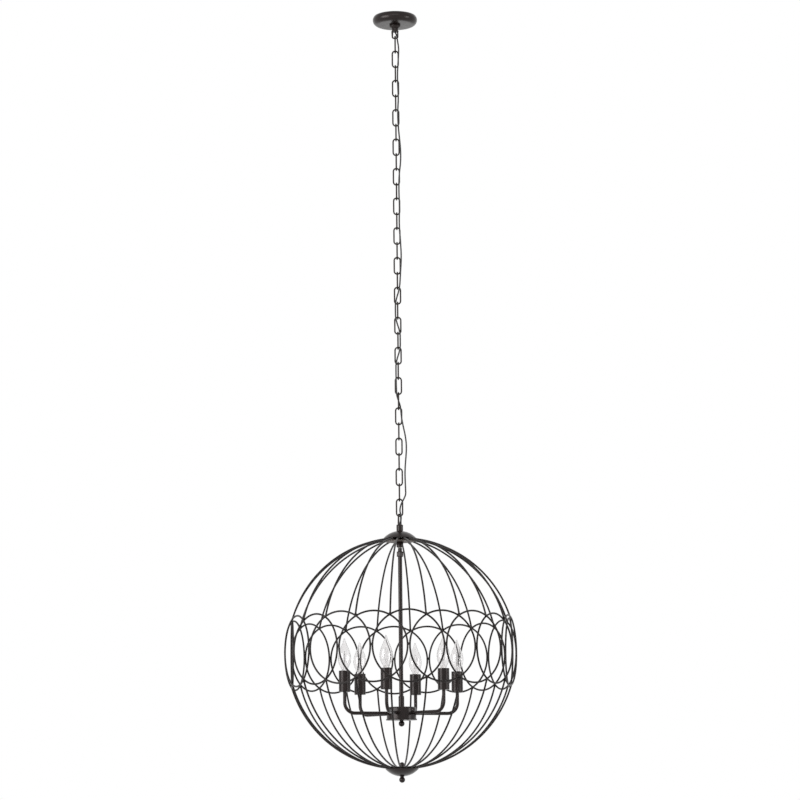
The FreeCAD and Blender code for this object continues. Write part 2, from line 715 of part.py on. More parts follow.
def bulb(number):
    """A clear flame-shaped lamp: its screw base, and the blown envelope that stands on the base."""
    turn = S["arm_phase"] + 360.0 / ARMS * (number - 1)
    centre = S["arm_reach"]
    seat = -(S["cup_top"] + S["holder_recess"]) + S["seat_gap"]
    foot = seat + S["base_flange"]
    base = S["base_radius"] * cosine(180.0 / BULB_SIDES)
    bottom = seat - S["base_depth"]
    spun(new_body("bulb_base_%d" % number, orb_middle, turn), "base_%d" % number, [
        (0.0, bottom), (base * 0.45, bottom), (base, bottom + base * 0.5), (base, seat),
        (S["glass_neck"], seat), (S["glass_neck"], foot), (0.0, foot)], BULB_SIDES, centre)
    wall = S["glass_wall"]
    rows = ((0.0, S["glass_neck"]), (0.16, S["glass_radius"] * 0.8), (0.36, S["glass_radius"]),
            (0.58, S["glass_radius"] * 0.84), (0.8, S["glass_radius"] * 0.42))
    outer = [(r, foot + S["glass_height"] * up) for up, r in rows]
    inner = [(r - wall, foot + S["glass_height"] * up) for up, r in rows]
    top = foot + S["glass_height"]
    spun(new_body("bulb_glass_%d" % number, orb_middle, turn), "glass_%d" % number,
         outer + [(S["glass_tip"], top), (0.0, top), (0.0, top - wall * 4)] + inner[::-1],
         BULB_SIDES, centre)


def stem_coupling():
    """The sleeve that joins the stem to the hub's threaded tube, its bore stepped to fit both."""
    bottom = -S["hub_top"]
    top = bottom + S["stem_coupling_height"]
    radius = S["stem_coupling_radius"]
    wide = S["stem_radius"] + S["thread_gap"]
    narrow = S["nipple_radius"] + S["thread_gap"]
    bevel = S["hub_wall"]
    return turned("stem_coupling", [
        (narrow, bottom), (radius, bottom), (radius, top - bevel), (radius - bevel, top), (wide, top),
        (wide, stem_bottom), (narrow, stem_bottom)], orb_middle)


def hub_cover():
    """The shallow pan that closes the hub from below."""
    hole = S["nipple_radius"] + S["fit_gap"]
    radius = S["cover_radius"]
    inside = S["hub_radius"] + S["fit_gap"]
    bevel = S["hub_wall"] / 2
    return turned("hub_cover", [
        (hole, cover_bottom), (radius - bevel, cover_bottom), (radius, cover_bottom + bevel),
        (radius, cover_bottom + S["cover_lip"]), (inside, cover_bottom + S["cover_lip"]),
        (inside, hub_bottom), (hole, hub_bottom)], orb_middle)


def dome_nut():
    """The domed cap nut that closes the rod's upper end inside the orb."""
    radius = S["dome_nut_radius"]
    seat = -cap_rim
    top = seat + S["dome_nut_height"]
    rod = S["rod_radius"] + S["thread_gap"]
    shoulder = top - radius * 0.75
    rod_end = top - radius
    return turned("bottom_dome_nut", [
        (rod, seat), (radius, seat), (radius, shoulder), (radius * 0.87, shoulder + radius * 0.4),
        (radius * 0.5, shoulder + radius * 0.66), (0.0, top), (0.0, rod_end), (rod, rod_end)],
        orb_middle)


def bottom_rod():
    """The threaded rod through the foot plate and cap, from the dome nut down to the finial."""
    rod_end = -cap_rim + S["dome_nut_height"] - S["dome_nut_radius"] - S["seat_gap"]
    return turned("bottom_rod", [
        (0.0, -cap_top), (S["rod_radius"], -cap_top), (S["rod_radius"], rod_end), (0.0, rod_end)],
        orb_middle)


# ---- cord ----
def cord_tube(label, points):
    """A stretch of cord: straight runs joined by tangent arcs, each as large as its two runs allow."""
    points = [Vector(*p) for p in points]
    edges = []
    radii = []
    start = points[0]
    for before, corner, after in zip(points, points[1:], points[2:]):
        inward = (corner - before).normalize()
        outward = (after - corner).normalize()
        half_turn = inward.getAngle(outward) / 2
        trim = 0.45 * min(corner.distanceToPoint(before), corner.distanceToPoint(after))
        radii.append(trim / math.tan(half_turn))
        first = corner - inward * trim
        last = corner + outward * trim
        centre_way = (outward - inward).normalize()
        reach = radii[-1] / math.cos(half_turn)
        middle = corner + centre_way * (reach - radii[-1])
        edges.append(Part.LineSegment(start, first).toShape())
        edges.append(Part.Arc(first, middle, last).toShape())
        start = last
    edges.append(Part.LineSegment(start, points[-1]).toShape())
    path = Part.Wire(edges)
    radius = S["cord_radius"].number
    heading = (points[1] - points[0]).normalize()
    across = heading.cross(Vector(1, 0, 0)).normalize()
    beside = heading.cross(across)
    corner_radius = same_area(radius, CORD_SIDES)
    ring = []
    for k in range(CORD_SIDES + 1):
        angle = 360.0 * k / CORD_SIDES
        ring.append(points[0] + (across * cosine(angle) + beside * sine(angle)) * corner_radius)
    tube = path.makePipeShell([Part.makePolygon(ring)], True, False)
    cord = doc.addObject("Part::Feature", label)
    cord.Label = label
    cord.Shape = tube
    expected = math.pi * radius * radius * path.Length
    tightest = min(radii) if radii else 0.0
    print("%s: %.0f mm long, volume %.4f of section x length, radii %s, tightest %.1f" % (
        label, path.Length, tube.Volume / expected, " ".join("%.0f" % r for r in radii), tightest))
    return cord


# ---- the cord's route, in the ceiling frame: it leaves the canopy's loop, wanders beside the chain,
# ---- crosses it three times, hangs free beside the last links and enters the orb's loop
CORD_AT_CANOPY = [
    (0.0, 0.0, -34.5), (0.0, 0.0, -43.0), (3.4, -3.4, -50.5), (4.9, -6.32, -58.0),
    (7.9, -7.2, -78.0)]
CORD_AT_FIRST_LINK = [
    (7.9, -7.2, -78.0), (9.4, -7.64, -88.0), (9.2, -6.9, -105.0), (8.0, -6.1, -122.0)]
CORD_ON_CHAIN = [
    (8.0, -6.1, -122.0), (7.3, -5.64, -132.0), (5.1, -5.3, -166.0), (6.6, -6.2, -206.0),
    (7.4, -6.2, -232.0), (4.8, -5.3, -270.0), (6.6, -5.8, -312.0), (11.9, -7.0, -366.0),
    (12.2, -6.6, -402.0), (7.0, -5.4, -442.0), (6.2, -5.8, -488.0), (7.8, -6.4, -524.0),
    (6.0, -5.6, -574.0), (9.4, -6.2, -624.0), (11.4, -6.8, -664.0), (8.2, -5.6, -712.0),
    (6.0, -5.2, -749.0), (-5.9, -5.1, -786.0), (-6.1, -5.4, -809.0), (-5.9, -5.1, -832.0),
    (5.9, -5.1, -867.0), (6.2, -5.4, -890.0), (5.9, -5.1, -914.0), (-5.9, -5.1, -949.0),
    (-6.1, -5.4, -972.0), (-5.9, -5.2, -995.0), (-5.4, -5.2, -1016.0), (-4.9, -5.0, -1034.0),
    (-3.0, -3.8, -1044.0), (3.6, -3.8, -1062.0), (5.6, -5.0, -1074.0), (7.2, -5.5, -1096.0),
    (11.6, -6.3, -1121.0), (17.6, -7.2, -1148.0), (20.4, -7.0, -1180.0), (15.0, -6.5, -1236.0),
    (15.6, -6.4, -1270.0), (16.6, -6.2, -1296.0)]
CORD_AT_LAST_LINK = [
    (16.6, -6.2, -1296.0), (16.83, -6.15, -1302.0), (12.4, -6.3, -1313.0), (4.2, -6.2, -1327.0),
    (1.9, -6.1, -1337.0)]
CORD_AT_ORB = [
    (1.9, -6.1, -1337.0), (0.29, -6.03, -1344.0), (3.0, -5.6, -1355.5), (4.4, -2.6, -1367.0),
    (0.0, 0.0, -1381.5), (0.0, 0.0, -1391.0)]


def straight_cord(label, bottom, top):
    """A length of cord that runs straight down a bored tube."""
    body = new_body(label)
    radius = same_area(S["cord_radius"], CORD_SIDES)
    sketch = draw_outline(sketch_on(body, "XY_Plane", label + "_section", bottom),
                          polygon(radius, CORD_SIDES))
    padded_up(body, label + "_pad", sketch, top - bottom)
    return body


RING_PHASE = 3.85     # degrees from the front to the first ring, towards +X
rib_phase = RING_PHASE + 180.0 / RINGS - 90.0
barrel_top_inside = canopy_bottom + S["collar_height"] * 0.75
rod_hole = S["rod_radius"] + S["fit_gap"]
nipple_hole = S["nipple_radius"] + S["fit_gap"]

# ceiling side
mounting_strap()
ground_screw()
threaded_tube("canopy_nipple", barrel_top_inside, -S["seat_gap"])
nut("canopy_locknut", S["locknut_flats"],
    -(S["strap_drop"] + S["strap_thickness"] + S["locknut_height"]), S["locknut_height"],
    S["nipple_radius"] + S["thread_gap"])
canopy()
screw_collar()
cast_loop("canopy_loop", canopy_barrel_bottom, barrel_top_inside, canopy_bar, up=False)
straight_cord("cord_in_nipple", sized(CORD_AT_CANOPY[0][2]), -S["seat_gap"])

# chain
single_link("first_link", 1, across=True)
chain_links()
single_link("last_link", LINKS, across=False)
for cord_label, cord_route in (
        ("cord_at_canopy", CORD_AT_CANOPY), ("cord_at_first_link", CORD_AT_FIRST_LINK),
        ("cord_on_chain", CORD_ON_CHAIN), ("cord_at_last_link", CORD_AT_LAST_LINK),
        ("cord_at_orb", CORD_AT_ORB)):
    cord_tube(cord_label, cord_route)

# orb
cast_loop("orb_loop", cap_top, orb_barrel_top - orb_middle, orb_loop_top - orb_middle, up=True,
          middle=orb_middle, turn=sized(65.0))
end_cap("top_cap", 1, nipple_hole)
weld_plate("top_plate", S["plate_radius"], nipple_hole, plate_bottom, plate_top)
threaded_tube("top_nipple", stem_top, cap_top, orb_middle)
turned("top_coupling", tube_profile(S["coupling_radius"], S["nipple_radius"] + S["thread_gap"],
                                    coupling_bottom, plate_bottom), orb_middle)
turned("stem", tube_profile(S["stem_radius"], S["stem_radius"] - S["stem_wall"], stem_bottom, stem_top),
       orb_middle)
nut("stem_nut", S["stem_nut_flats"], plate_bottom - S["stem_nut_drop"] - S["stem_nut_height"],
    S["stem_nut_height"], S["stem_radius"] + S["thread_gap"], orb_middle)
straight_cord("cord_in_stem", orb_middle + hub_bottom + S["connector_length"], sized(CORD_AT_ORB[-1][2]))
rib_layer("upper_ribs", 1)
ring_layer("outer_rings", S["orb_radius"], RING_PHASE)
ring_layer("inner_rings", inner_sphere, RING_PHASE + 360.0 / RINGS)
rib_layer("lower_ribs", -1)
end_cap("bottom_cap", -1, rod_hole)
weld_plate("bottom_plate", S["foot_plate_radius"], rod_hole, -(cap_rim + S["plate_thickness"]), -cap_rim)
dome_nut()
bottom_rod()
finial("bottom_finial", -cap_top)

# lamp cluster
stem_coupling()
threaded_tube("hub_nipple", cover_bottom, stem_bottom, orb_middle)
nut("hub_locknut", S["locknut_flats"], -(S["hub_top"] + S["hub_wall"] + S["locknut_height"]),
    S["locknut_height"], S["nipple_radius"] + S["thread_gap"], orb_middle)
hub_body()
hub_cover()
finial("hub_finial", cover_bottom)
connectors("hub_connectors", ((S["connector_offset"], hub_bottom), (-S["connector_offset"], hub_bottom)),
           orb_middle)
for lamp in range(1, ARMS + 1):
    arm(lamp)
socket_cups()
lampholders()
for lamp in range(1, ARMS + 1):
    bulb(lamp)

doc.recompute()

# ---- checks and export ----
os.makedirs("parts", exist_ok=True)
faults = []
for thing in doc.Objects:
    if "Invalid" in thing.State or "Error" in thing.State:
        faults.append("%s: %s" % (thing.Label, thing.State))
pieces = [thing for thing in doc.Objects
          if thing.TypeId == "PartDesign::Body" or thing.TypeId == "Part::Feature"]
for piece in pieces:
    if piece.Shape.isNull() or not piece.Shape.isValid() or not piece.Shape.Solids:
        faults.append("%s has no valid solid" % piece.Label)
if faults:
    raise RuntimeError("; ".join(faults))
for piece in pieces:
    piece.Shape.exportStep("parts/%s.step" % piece.Label)
print("%d nodes, %d solids" % (len(pieces), sum(len(p.Shape.Solids) for p in pieces)))
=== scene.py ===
import math
import bmesh
import bpy
from mathutils import Matrix, Vector


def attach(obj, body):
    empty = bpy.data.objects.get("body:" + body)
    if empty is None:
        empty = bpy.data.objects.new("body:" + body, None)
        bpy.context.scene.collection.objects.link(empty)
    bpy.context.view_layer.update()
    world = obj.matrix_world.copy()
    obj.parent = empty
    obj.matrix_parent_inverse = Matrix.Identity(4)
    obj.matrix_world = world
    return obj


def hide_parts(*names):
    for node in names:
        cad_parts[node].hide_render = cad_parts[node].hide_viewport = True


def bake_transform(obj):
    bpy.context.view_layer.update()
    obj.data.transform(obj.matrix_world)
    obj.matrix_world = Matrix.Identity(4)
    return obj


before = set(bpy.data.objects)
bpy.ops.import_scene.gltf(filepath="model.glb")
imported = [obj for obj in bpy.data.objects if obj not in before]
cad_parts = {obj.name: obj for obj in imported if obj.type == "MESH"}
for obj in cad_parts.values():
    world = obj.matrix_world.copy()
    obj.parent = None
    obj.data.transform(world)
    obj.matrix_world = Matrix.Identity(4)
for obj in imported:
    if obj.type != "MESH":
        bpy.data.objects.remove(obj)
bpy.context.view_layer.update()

# Sizes in millimetres and angles in degrees, unless a comment says otherwise.
CORD_RADIUS = 2.0
SHEET = 1.2
# rings and bends turn about this: from +X up to +Z
ARC_AXIS = (0, -1, 0)

# heights from the ceiling plane
ORB_MIDDLE = -1718.6
CANOPY_FACE = -24.0
CANOPY_NIPPLE_TOP = -0.3
CANOPY_LOOP_TOP = -18.0
CANOPY_LOOP_FOOT = -43.0
CANOPY_LOOP_TIP = -60.1
CORD_LEAVES_NIPPLE = -34.5
CORD_ENTERS_ORB = -1391.0
CORD_END = -1873.4
FIRST_LINK_TOP = -57.7

# heights from the orb's middle
RIB_LEVEL = 297.14
CAP_RIM = 300.2
CAP_TOP = 320.2
PLATE_TOP = 294.08
PLATE_BOTTOM = 291.58
COUPLING_BOTTOM = 276.58
STEM_BOTTOM = -126.4
HUB_NIPPLE_TOP = -126.5
ARM_LEVEL = -157.0
HUB_TOP = -141.0
HUB_BOTTOM = -174.0
CUP_TOP = -47.5
CUP_BOTTOM = -102.5
BULB_SEAT = -48.4

LINKS = 32
LINK_PITCH = 40.6
ORB_RADIUS = 303.0
WIRE = 2.4
# how far the solids' five-sided wire reaches from its own middle: the rings are set apart by it
SECTION_REACH = 2.759
LAYER_STEP = 5.24
RINGS = 20
RING_TURN = 360.0 / (RINGS // 2)
RIB_TURN = 360.0 / RINGS
RING_PHASE = 3.85
CAP_RADIUS = 44.0
NIPPLE_RADIUS = 4.85
NIPPLE_BORE = 3.4
NIPPLE_HOLE = 5.15
ROD_HOLE = 3.2
ORB_LOOP_TURN = 65.0
LOOP_BAR = 2.1
LOOP_FOOT_RISE = 16.5
LOOP_BOW_RISE = 25.0
ARMS = 6
ARM_TURN = 360.0 / ARMS
ARM_PHASE = 15.7
ARM_REACH = 152.5
ARM_BEND = 27.0
ARM_TUBE = 4.5
ARM_START = 33.5


# ---------------------------------------------------------------- shapes
def turned(bm, profile, steps=72, at=(0.0, 0.0, 0.0)):
    """Turns a closed outline of (radius, height) corners about a standing axis."""
    corners = [bm.verts.new(((at[0] + r) / 1000, at[1] / 1000, (at[2] + z) / 1000))
               for r, z in profile]
    edges = [bm.edges.new((corners[k], corners[k - 1])) for k in range(len(corners))]
    bmesh.ops.spin(bm, geom=corners + edges, cent=Vector(at) / 1000, axis=(0, 0, 1),
                   angle=math.tau, steps=steps, use_merge=True)
    # a corner on the axis was swept onto itself
    bmesh.ops.remove_doubles(bm, verts=bm.verts, dist=1e-6)
    loose = [e for e in bm.edges if not e.link_faces]
    bmesh.ops.delete(bm, geom=loose, context="EDGES")


def curve_of(centre, radius, first, last, count):
    """Points on an arc, in degrees from +radius towards +height."""
    turn = (last - first) / (count - 1)
    angles = [math.radians(first + turn * k) for k in range(count)]
    return [(centre[0] + radius * math.cos(a), centre[1] + radius * math.sin(a)) for a in angles]


def wire_end(bm, radius, place, heading, sides=12):
    """The round section that a wire or a tube starts from."""
    turn = Vector((0, 0, 1)).rotation_difference(Vector(heading)).to_matrix().to_4x4()
    ring = bmesh.ops.create_circle(bm, cap_ends=False, segments=sides, radius=radius / 1000,
                                   matrix=Matrix.Translation(Vector(place) / 1000) @ turn)
    return list(dict.fromkeys(e for v in ring["verts"] for e in v.link_edges))


def run(bm, edges, step):
    """Carries a section straight on."""
    grown = bmesh.ops.extrude_edge_only(bm, edges=edges)["geom"]
    verts = [g for g in grown if isinstance(g, bmesh.types.BMVert)]
    bmesh.ops.translate(bm, verts=verts, vec=Vector(step) / 1000)
    return [g for g in grown if isinstance(g, bmesh.types.BMEdge)]


def bend(bm, edges, centre, axis, angle, steps):
    """Carries a section round an arc."""
    swept = bmesh.ops.spin(bm, geom=edges, cent=Vector(centre) / 1000, axis=axis,
                           angle=math.radians(angle), steps=steps)["geom_last"]
    return [g for g in swept if isinstance(g, bmesh.types.BMEdge)]


def ends_of(edges):
    """The edges' corners, each once."""
    return list(dict.fromkeys(v for e in edges for v in e.verts))


def pinch(bm, edges, scale):
    """Narrows or widens a section about its own middle."""
    verts = ends_of(edges)
    middle = sum((v.co for v in verts), Vector()) / len(verts)
    bmesh.ops.scale(bm, vec=(scale, scale, scale), space=Matrix.Translation(-middle), verts=verts)
    return edges


def close(bm, edges):
    """Caps an open section."""
    bmesh.ops.edgeloop_fill(bm, edges=edges)


def move(bm, matrix):
    bmesh.ops.transform(bm, matrix=matrix, verts=bm.verts)


def add_part(bm, part, matrix):
    """Adds a part's shape to a piece, moved by a matrix."""
    move(part, matrix)
    mesh = bpy.data.meshes.new("part")
    part.to_mesh(mesh)
    part.free()
    bm.from_mesh(mesh)
    bpy.data.meshes.remove(mesh)


def around(angle, height=0.0):
    """Turned about the part's axis and lifted."""
    return Matrix.Translation((0, 0, height / 1000)) @ Matrix.Rotation(math.radians(angle), 4, "Z")


def bead(bm, place, radius, squash=(1, 1, 1)):
    """A small weld bead."""
    form = Matrix.Translation(Vector(place) / 1000) @ Matrix.Diagonal((*squash, 1))
    bmesh.ops.create_icosphere(bm, subdivisions=2, radius=radius / 1000, matrix=form)


def piece(name, bm, body, finish, nodes=(), edge=0.25, sharp=35):
    """Makes a finished piece of a bmesh, on its body, in its finish, in place of its solids."""
    bmesh.ops.remove_doubles(bm, verts=bm.verts, dist=1e-7)
    bmesh.ops.recalc_face_normals(bm, faces=bm.faces)
    mesh = bpy.data.meshes.new(name)
    bm.to_mesh(mesh)
    bm.free()
    mesh.materials.append(finish)
    mesh.shade_smooth()
    mesh.set_sharp_from_angle(angle=math.radians(sharp))
    made = bpy.data.objects.new(name, mesh)
    bpy.context.scene.collection.objects.link(made)
    if edge:
        soften = made.modifiers.new("softened edges", "BEVEL")
        soften.width = edge / 1000
        soften.segments = 2
        soften.limit_method = "ANGLE"
        soften.angle_limit = math.radians(sharp)
        soften.harden_normals = True
    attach(made, body)
    if nodes:
        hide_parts(*nodes)
    return made


# ---------------------------------------------------------------- finishes
def linear(hex_colour):
    """An sRGB hex colour as Blender's linear values."""
    parts = [int(hex_colour[k:k + 2], 16) / 255 for k in (1, 3, 5)]
    return (*(p / 12.92 if p <= 0.04045 else ((p + 0.055) / 1.055) ** 2.4 for p in parts), 1.0)


def per_mm(size):
    """The scale at which a pattern on Object coordinates repeats every so many millimetres."""
    return 1000.0 / size


def node(tree, kind, links=None, **settings):
    """Adds one node, sets its inputs or properties, and links what is given as (socket, source)."""
    made = tree.nodes.new(kind)
    for key, value in settings.items():
        if hasattr(made, key):
            setattr(made, key, value)
        else:
            made.inputs[key.replace("_", " ")].default_value = value
    for socket, source in (links or {}).items():
        tree.links.new(source, made.inputs[socket])
    return made


def new_finish(name):
    made = bpy.data.materials.new(name)
    made.use_nodes = True
    tree = made.node_tree
    shader = tree.nodes["Principled BSDF"]
    place = node(tree, "ShaderNodeTexCoord").outputs["Object"]
    return made, tree, shader, place


def colour_between(tree, shader, pattern, dark, light):
    """Lets a pattern lead the base colour from one hex colour to another."""
    tone = node(tree, "ShaderNodeMix", {"Factor": pattern}, data_type="RGBA")
    tone.inputs["A"].default_value = linear(dark)
    tone.inputs["B"].default_value = linear(light)
    tree.links.new(tone.outputs["Result"], shader.inputs["Base Color"])


def raised(tree, shader, pattern, strength, depth):
    """Lets a pattern raise the skin by so many millimetres."""
    relief = node(tree, "ShaderNodeBump", {"Height": pattern}, Strength=strength,
                  Distance=depth / 1000)
    tree.links.new(relief.outputs["Normal"], shader.inputs["Normal"])


def baked_enamel(name, dark, light, rough, patch, peel, peel_depth, ior=1.36):
    """Oil-rubbed bronze enamel, sprayed and baked: near-black brown that clouds slightly from patch
    to patch, with the faint orange peel that a sprayed coat keeps."""
    made, tree, shader, place = new_finish(name)
    cloud = node(tree, "ShaderNodeTexNoise", {"Vector": place}, Scale=per_mm(patch), Detail=5.0,
                 Roughness=0.6)
    sheen = node(tree, "ShaderNodeMapRange", {"Value": cloud.outputs["Fac"]}, From_Min=0.3,
                 From_Max=0.7, To_Min=rough - 0.06, To_Max=rough + 0.08)
    skin = node(tree, "ShaderNodeTexNoise", {"Vector": place}, Scale=per_mm(peel), Detail=2.0)
    colour_between(tree, shader, cloud.outputs["Fac"], dark, light)
    tree.links.new(sheen.outputs["Result"], shader.inputs["Roughness"])
    raised(tree, shader, skin.outputs["Fac"], 0.35, peel_depth)
    shader.inputs["Metallic"].default_value = 0.3
    # lower than a fresh gloss coat's, as this enamel shows only soft highlights
    shader.inputs["IOR"].default_value = ior
    return made


# cast and spun pieces: smooth enough to show a soft window highlight
bronze_enamel = baked_enamel("baked bronze enamel on spun steel", "#151010", "#291e1b", rough=0.24,
                             patch=18, peel=1.4, peel_depth=0.02, ior=1.42)
# drawn wire takes a thinner coat, so it looks drier and a little darker
wire_enamel = baked_enamel("baked bronze enamel on drawn wire", "#151110", "#211b19", rough=0.36,
                           patch=26, peel=1.1, peel_depth=0.02)
# chain is dipped, which leaves runs and a drier look
chain_lacquer = baked_enamel("dipped bronze lacquer on formed wire", "#1c1715", "#2e2622",
                             rough=0.4, patch=9, peel=0.9, peel_depth=0.04)
# the flat discs' colours are painted paler than the rest's: painted light, standing for the light
# they catch from below
plate_enamel_painted_light = baked_enamel("baked bronze enamel on flat plate", "#534b46", "#6a615a", rough=0.5,
                            patch=14, peel=1.2, peel_depth=0.02)


def zinc_plate():
    """Zinc-plated pressed steel: pale grey with faint crystal patches and drawn lines."""
    made, tree, shader, place = new_finish("zinc plate on pressed steel")
    grain = node(tree, "ShaderNodeTexVoronoi", {"Vector": place}, Scale=per_mm(2.2))
    drawn = node(tree, "ShaderNodeMapping", {"Vector": place}, Scale=(1.0, 40.0, 40.0))
    lines = node(tree, "ShaderNodeTexNoise", {"Vector": drawn.outputs["Vector"]}, Scale=per_mm(20))
    colour_between(tree, shader, grain.outputs["Distance"], "#a9a9a4", "#c6c6c0")
    raised(tree, shader, lines.outputs["Fac"], 0.2, 0.02)
    shader.inputs["Metallic"].default_value = 1.0
    shader.inputs["Roughness"].default_value = 0.42
    return made


def moulded_plastic(name, colour, pale, rough):
    """Moulded plastic: one colour that greys very slightly, over a fine spark-eroded grain."""
    made, tree, shader, place = new_finish(name)
    cloud = node(tree, "ShaderNodeTexNoise", {"Vector": place}, Scale=per_mm(9), Detail=3.0)
    grit = node(tree, "ShaderNodeTexNoise", {"Vector": place}, Scale=per_mm(0.5))
    colour_between(tree, shader, cloud.outputs["Fac"], colour, pale)
    raised(tree, shader, grit.outputs["Fac"], 0.3, 0.03)
    shader.inputs["Roughness"].default_value = rough
    shader.inputs["IOR"].default_value = 1.5
    return made


def rolled_brass():
    """Rolled brass screw shell: warm yellow metal, a little tarnished."""
    made, tree, shader, place = new_finish("rolled brass")
    cloud = node(tree, "ShaderNodeTexNoise", {"Vector": place}, Scale=per_mm(6), Detail=4.0)
    tarnish = node(tree, "ShaderNodeMapRange", {"Value": cloud.outputs["Fac"]}, To_Min=0.22,
                   To_Max=0.4)
    colour_between(tree, shader, cloud.outputs["Fac"], "#b08a4a", "#cfae6c")
    tree.links.new(tarnish.outputs["Result"], shader.inputs["Roughness"])
    shader.inputs["Metallic"].default_value = 1.0
    return made


def blown_glass():
    """Clear blown lamp glass: almost invisible face on, with a grey line where its wall turns."""
    made, tree, shader, place = new_finish("clear blown glass")
    streaks = node(tree, "ShaderNodeTexNoise", {"Vector": place}, Scale=per_mm(16))
    colour_between(tree, shader, streaks.outputs["Fac"], "#efeeee", "#f8f7f7")
    shader.inputs["Roughness"].default_value = 0.0
    shader.inputs["Transmission Weight"].default_value = 1.0
    # a thin even wall hardly bends what is seen through it, so the index is low, and the coat
    # gives the window's reflection at full strength
    shader.inputs["IOR"].default_value = 1.08
    shader.inputs["Coat Weight"].default_value = 1.0
    shader.inputs["Coat Roughness"].default_value = 0.01
    return made


def drawn_tungsten():
    """Coiled tungsten and its molybdenum hooks: thin dark grey wire."""
    made, tree, shader, place = new_finish("drawn tungsten wire")
    turns = node(tree, "ShaderNodeTexWave", {"Vector": place}, Scale=per_mm(1.5),
                 bands_direction="Z")
    colour_between(tree, shader, turns.outputs["Fac"], "#3d3c3a", "#5a5855")
    shader.inputs["Metallic"].default_value = 1.0
    shader.inputs["Roughness"].default_value = 0.35
    return made


def cord_jacket():
    """Black flexible lamp cord: soft matt jacket with the slight ripple of its twisted cores."""
    made, tree, shader, place = new_finish("soft black cord jacket")
    ripple = node(tree, "ShaderNodeTexWave", {"Vector": place}, Scale=per_mm(14), Distortion=2.0,
                  bands_direction="DIAGONAL")
    colour_between(tree, shader, ripple.outputs["Fac"], "#1a1919", "#262525")
    raised(tree, shader, ripple.outputs["Fac"], 0.4, 0.2)
    shader.inputs["Roughness"].default_value = 0.55
    return made


zinc = zinc_plate()
brass = rolled_brass()
glass = blown_glass()
tungsten = drawn_tungsten()
jacket = cord_jacket()
phenolic = moulded_plastic("black moulded phenolic", "#191817", "#24221f", 0.35)
orange_nylon = moulded_plastic("orange moulded nylon", "#c8641c", "#d3722a", 0.4)
green_paint = moulded_plastic("green dipped screw paint", "#1c6b35", "#27783f", 0.3)

# solids whose shape is right keep it and get their finish
for name, finish in (("mounting_strap", zinc), ("ground_screw", green_paint),
                     ("canopy_locknut", zinc), ("hub_locknut", zinc)):
    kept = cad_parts[name]
    kept.data.materials.clear()
    kept.data.materials.append(finish)

# ---------------------------------------------------------------- cord, in seven lengths
# each length's control points, from the ceiling down, and the body or bodies that carry it
ROUTES = {
    "cord_at_canopy": ([
        (0.0, 0.0, -34.5), (0.0, 0.0, -43.0), (3.4, -3.4, -50.5), (4.9, -6.32, -58.0),
        (7.9, -7.2, -78.0)], ("ceiling_set", "upper_link")),
    "cord_at_first_link": ([
        (7.9, -7.2, -78.0), (9.4, -7.64, -88.0), (9.2, -6.9, -105.0), (8.0, -6.1, -122.0)],
        ("upper_link", "chain")),
    "cord_on_chain": ([
        (8.0, -6.1, -122.0), (7.3, -5.64, -132.0), (5.1, -5.3, -166.0), (6.6, -6.2, -206.0),
        (7.4, -6.2, -232.0), (4.8, -5.3, -270.0), (6.6, -5.8, -312.0), (11.9, -7.0, -366.0),
        (12.2, -6.6, -402.0), (7.0, -5.4, -442.0), (6.2, -5.8, -488.0), (7.8, -6.4, -524.0),
        (6.0, -5.6, -574.0), (9.4, -6.2, -624.0), (11.4, -6.8, -664.0), (8.2, -5.6, -712.0),
        (6.0, -5.2, -749.0), (-5.9, -5.1, -786.0), (-6.1, -5.4, -809.0), (-5.9, -5.1, -832.0),
        (5.9, -5.1, -867.0), (6.2, -5.4, -890.0), (5.9, -5.1, -914.0), (-5.9, -5.1, -949.0),
        (-6.1, -5.4, -972.0), (-5.9, -5.2, -995.0), (-5.4, -5.2, -1016.0), (-4.9, -5.0, -1034.0),
        (-3.0, -3.8, -1044.0), (3.6, -3.8, -1062.0), (5.6, -5.0, -1074.0), (7.2, -5.5, -1096.0),
        (11.6, -6.3, -1121.0), (17.6, -7.2, -1148.0), (20.4, -7.0, -1180.0), (15.0, -6.5, -1236.0),
        (15.6, -6.4, -1270.0), (16.6, -6.2, -1296.0)], ("chain",)),
    "cord_at_last_link": ([
        (16.6, -6.2, -1296.0), (16.83, -6.15, -1302.0), (12.4, -6.3, -1313.0), (4.2, -6.2, -1327.0),
        (1.9, -6.1, -1337.0)], ("chain", "lower_link")),
    "cord_at_orb": ([
        (1.9, -6.1, -1337.0), (0.29, -6.03, -1344.0), (3.0, -5.6, -1355.5), (4.4, -2.6, -1367.0),
        (0.0, 0.0, -1381.5), (0.0, 0.0, -1391.0)], ("lower_link", "orb")),
}


def cord_curve(name, points):
    """The cord's middle line, as a smooth curve that the points pull towards them."""
    line = bpy.data.curves.new(name, "CURVE")
    line.dimensions = "3D"
    spline = line.splines.new("NURBS")
    spline.points.add(len(points) - 1)
    for point, place in zip(spline.points, points):
        point.co = (*(c / 1000 for c in place), 1.0)
    spline.order_u = 3
    spline.use_endpoint_u = True
    spline.resolution_u = 12
    made = bpy.data.objects.new(name, line)
    bpy.context.scene.collection.objects.link(made)
    return made


for name, (route, bodies) in ROUTES.items():
    line = cord_curve(name + "_line", route)
    bare = bpy.data.meshes.new_from_object(line)
    line.data.bevel_depth = CORD_RADIUS / 1000
    line.data.bevel_resolution = 4
    line.data.use_fill_caps = True
    if len(bodies) == 1:
        tube = line
        tube.name = name + "_tube"
        tube.data.materials.append(jacket)
        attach(tube, bodies[0])
    else:
        tube = bpy.data.objects.new(name + "_tube", bpy.data.meshes.new_from_object(line))
        bpy.data.objects.remove(line)
        bpy.context.scene.collection.objects.link(tube)
        tube.data.materials.clear()
        tube.data.materials.append(jacket)
        tube.data.shade_smooth()
        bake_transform(tube)
    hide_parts(name)

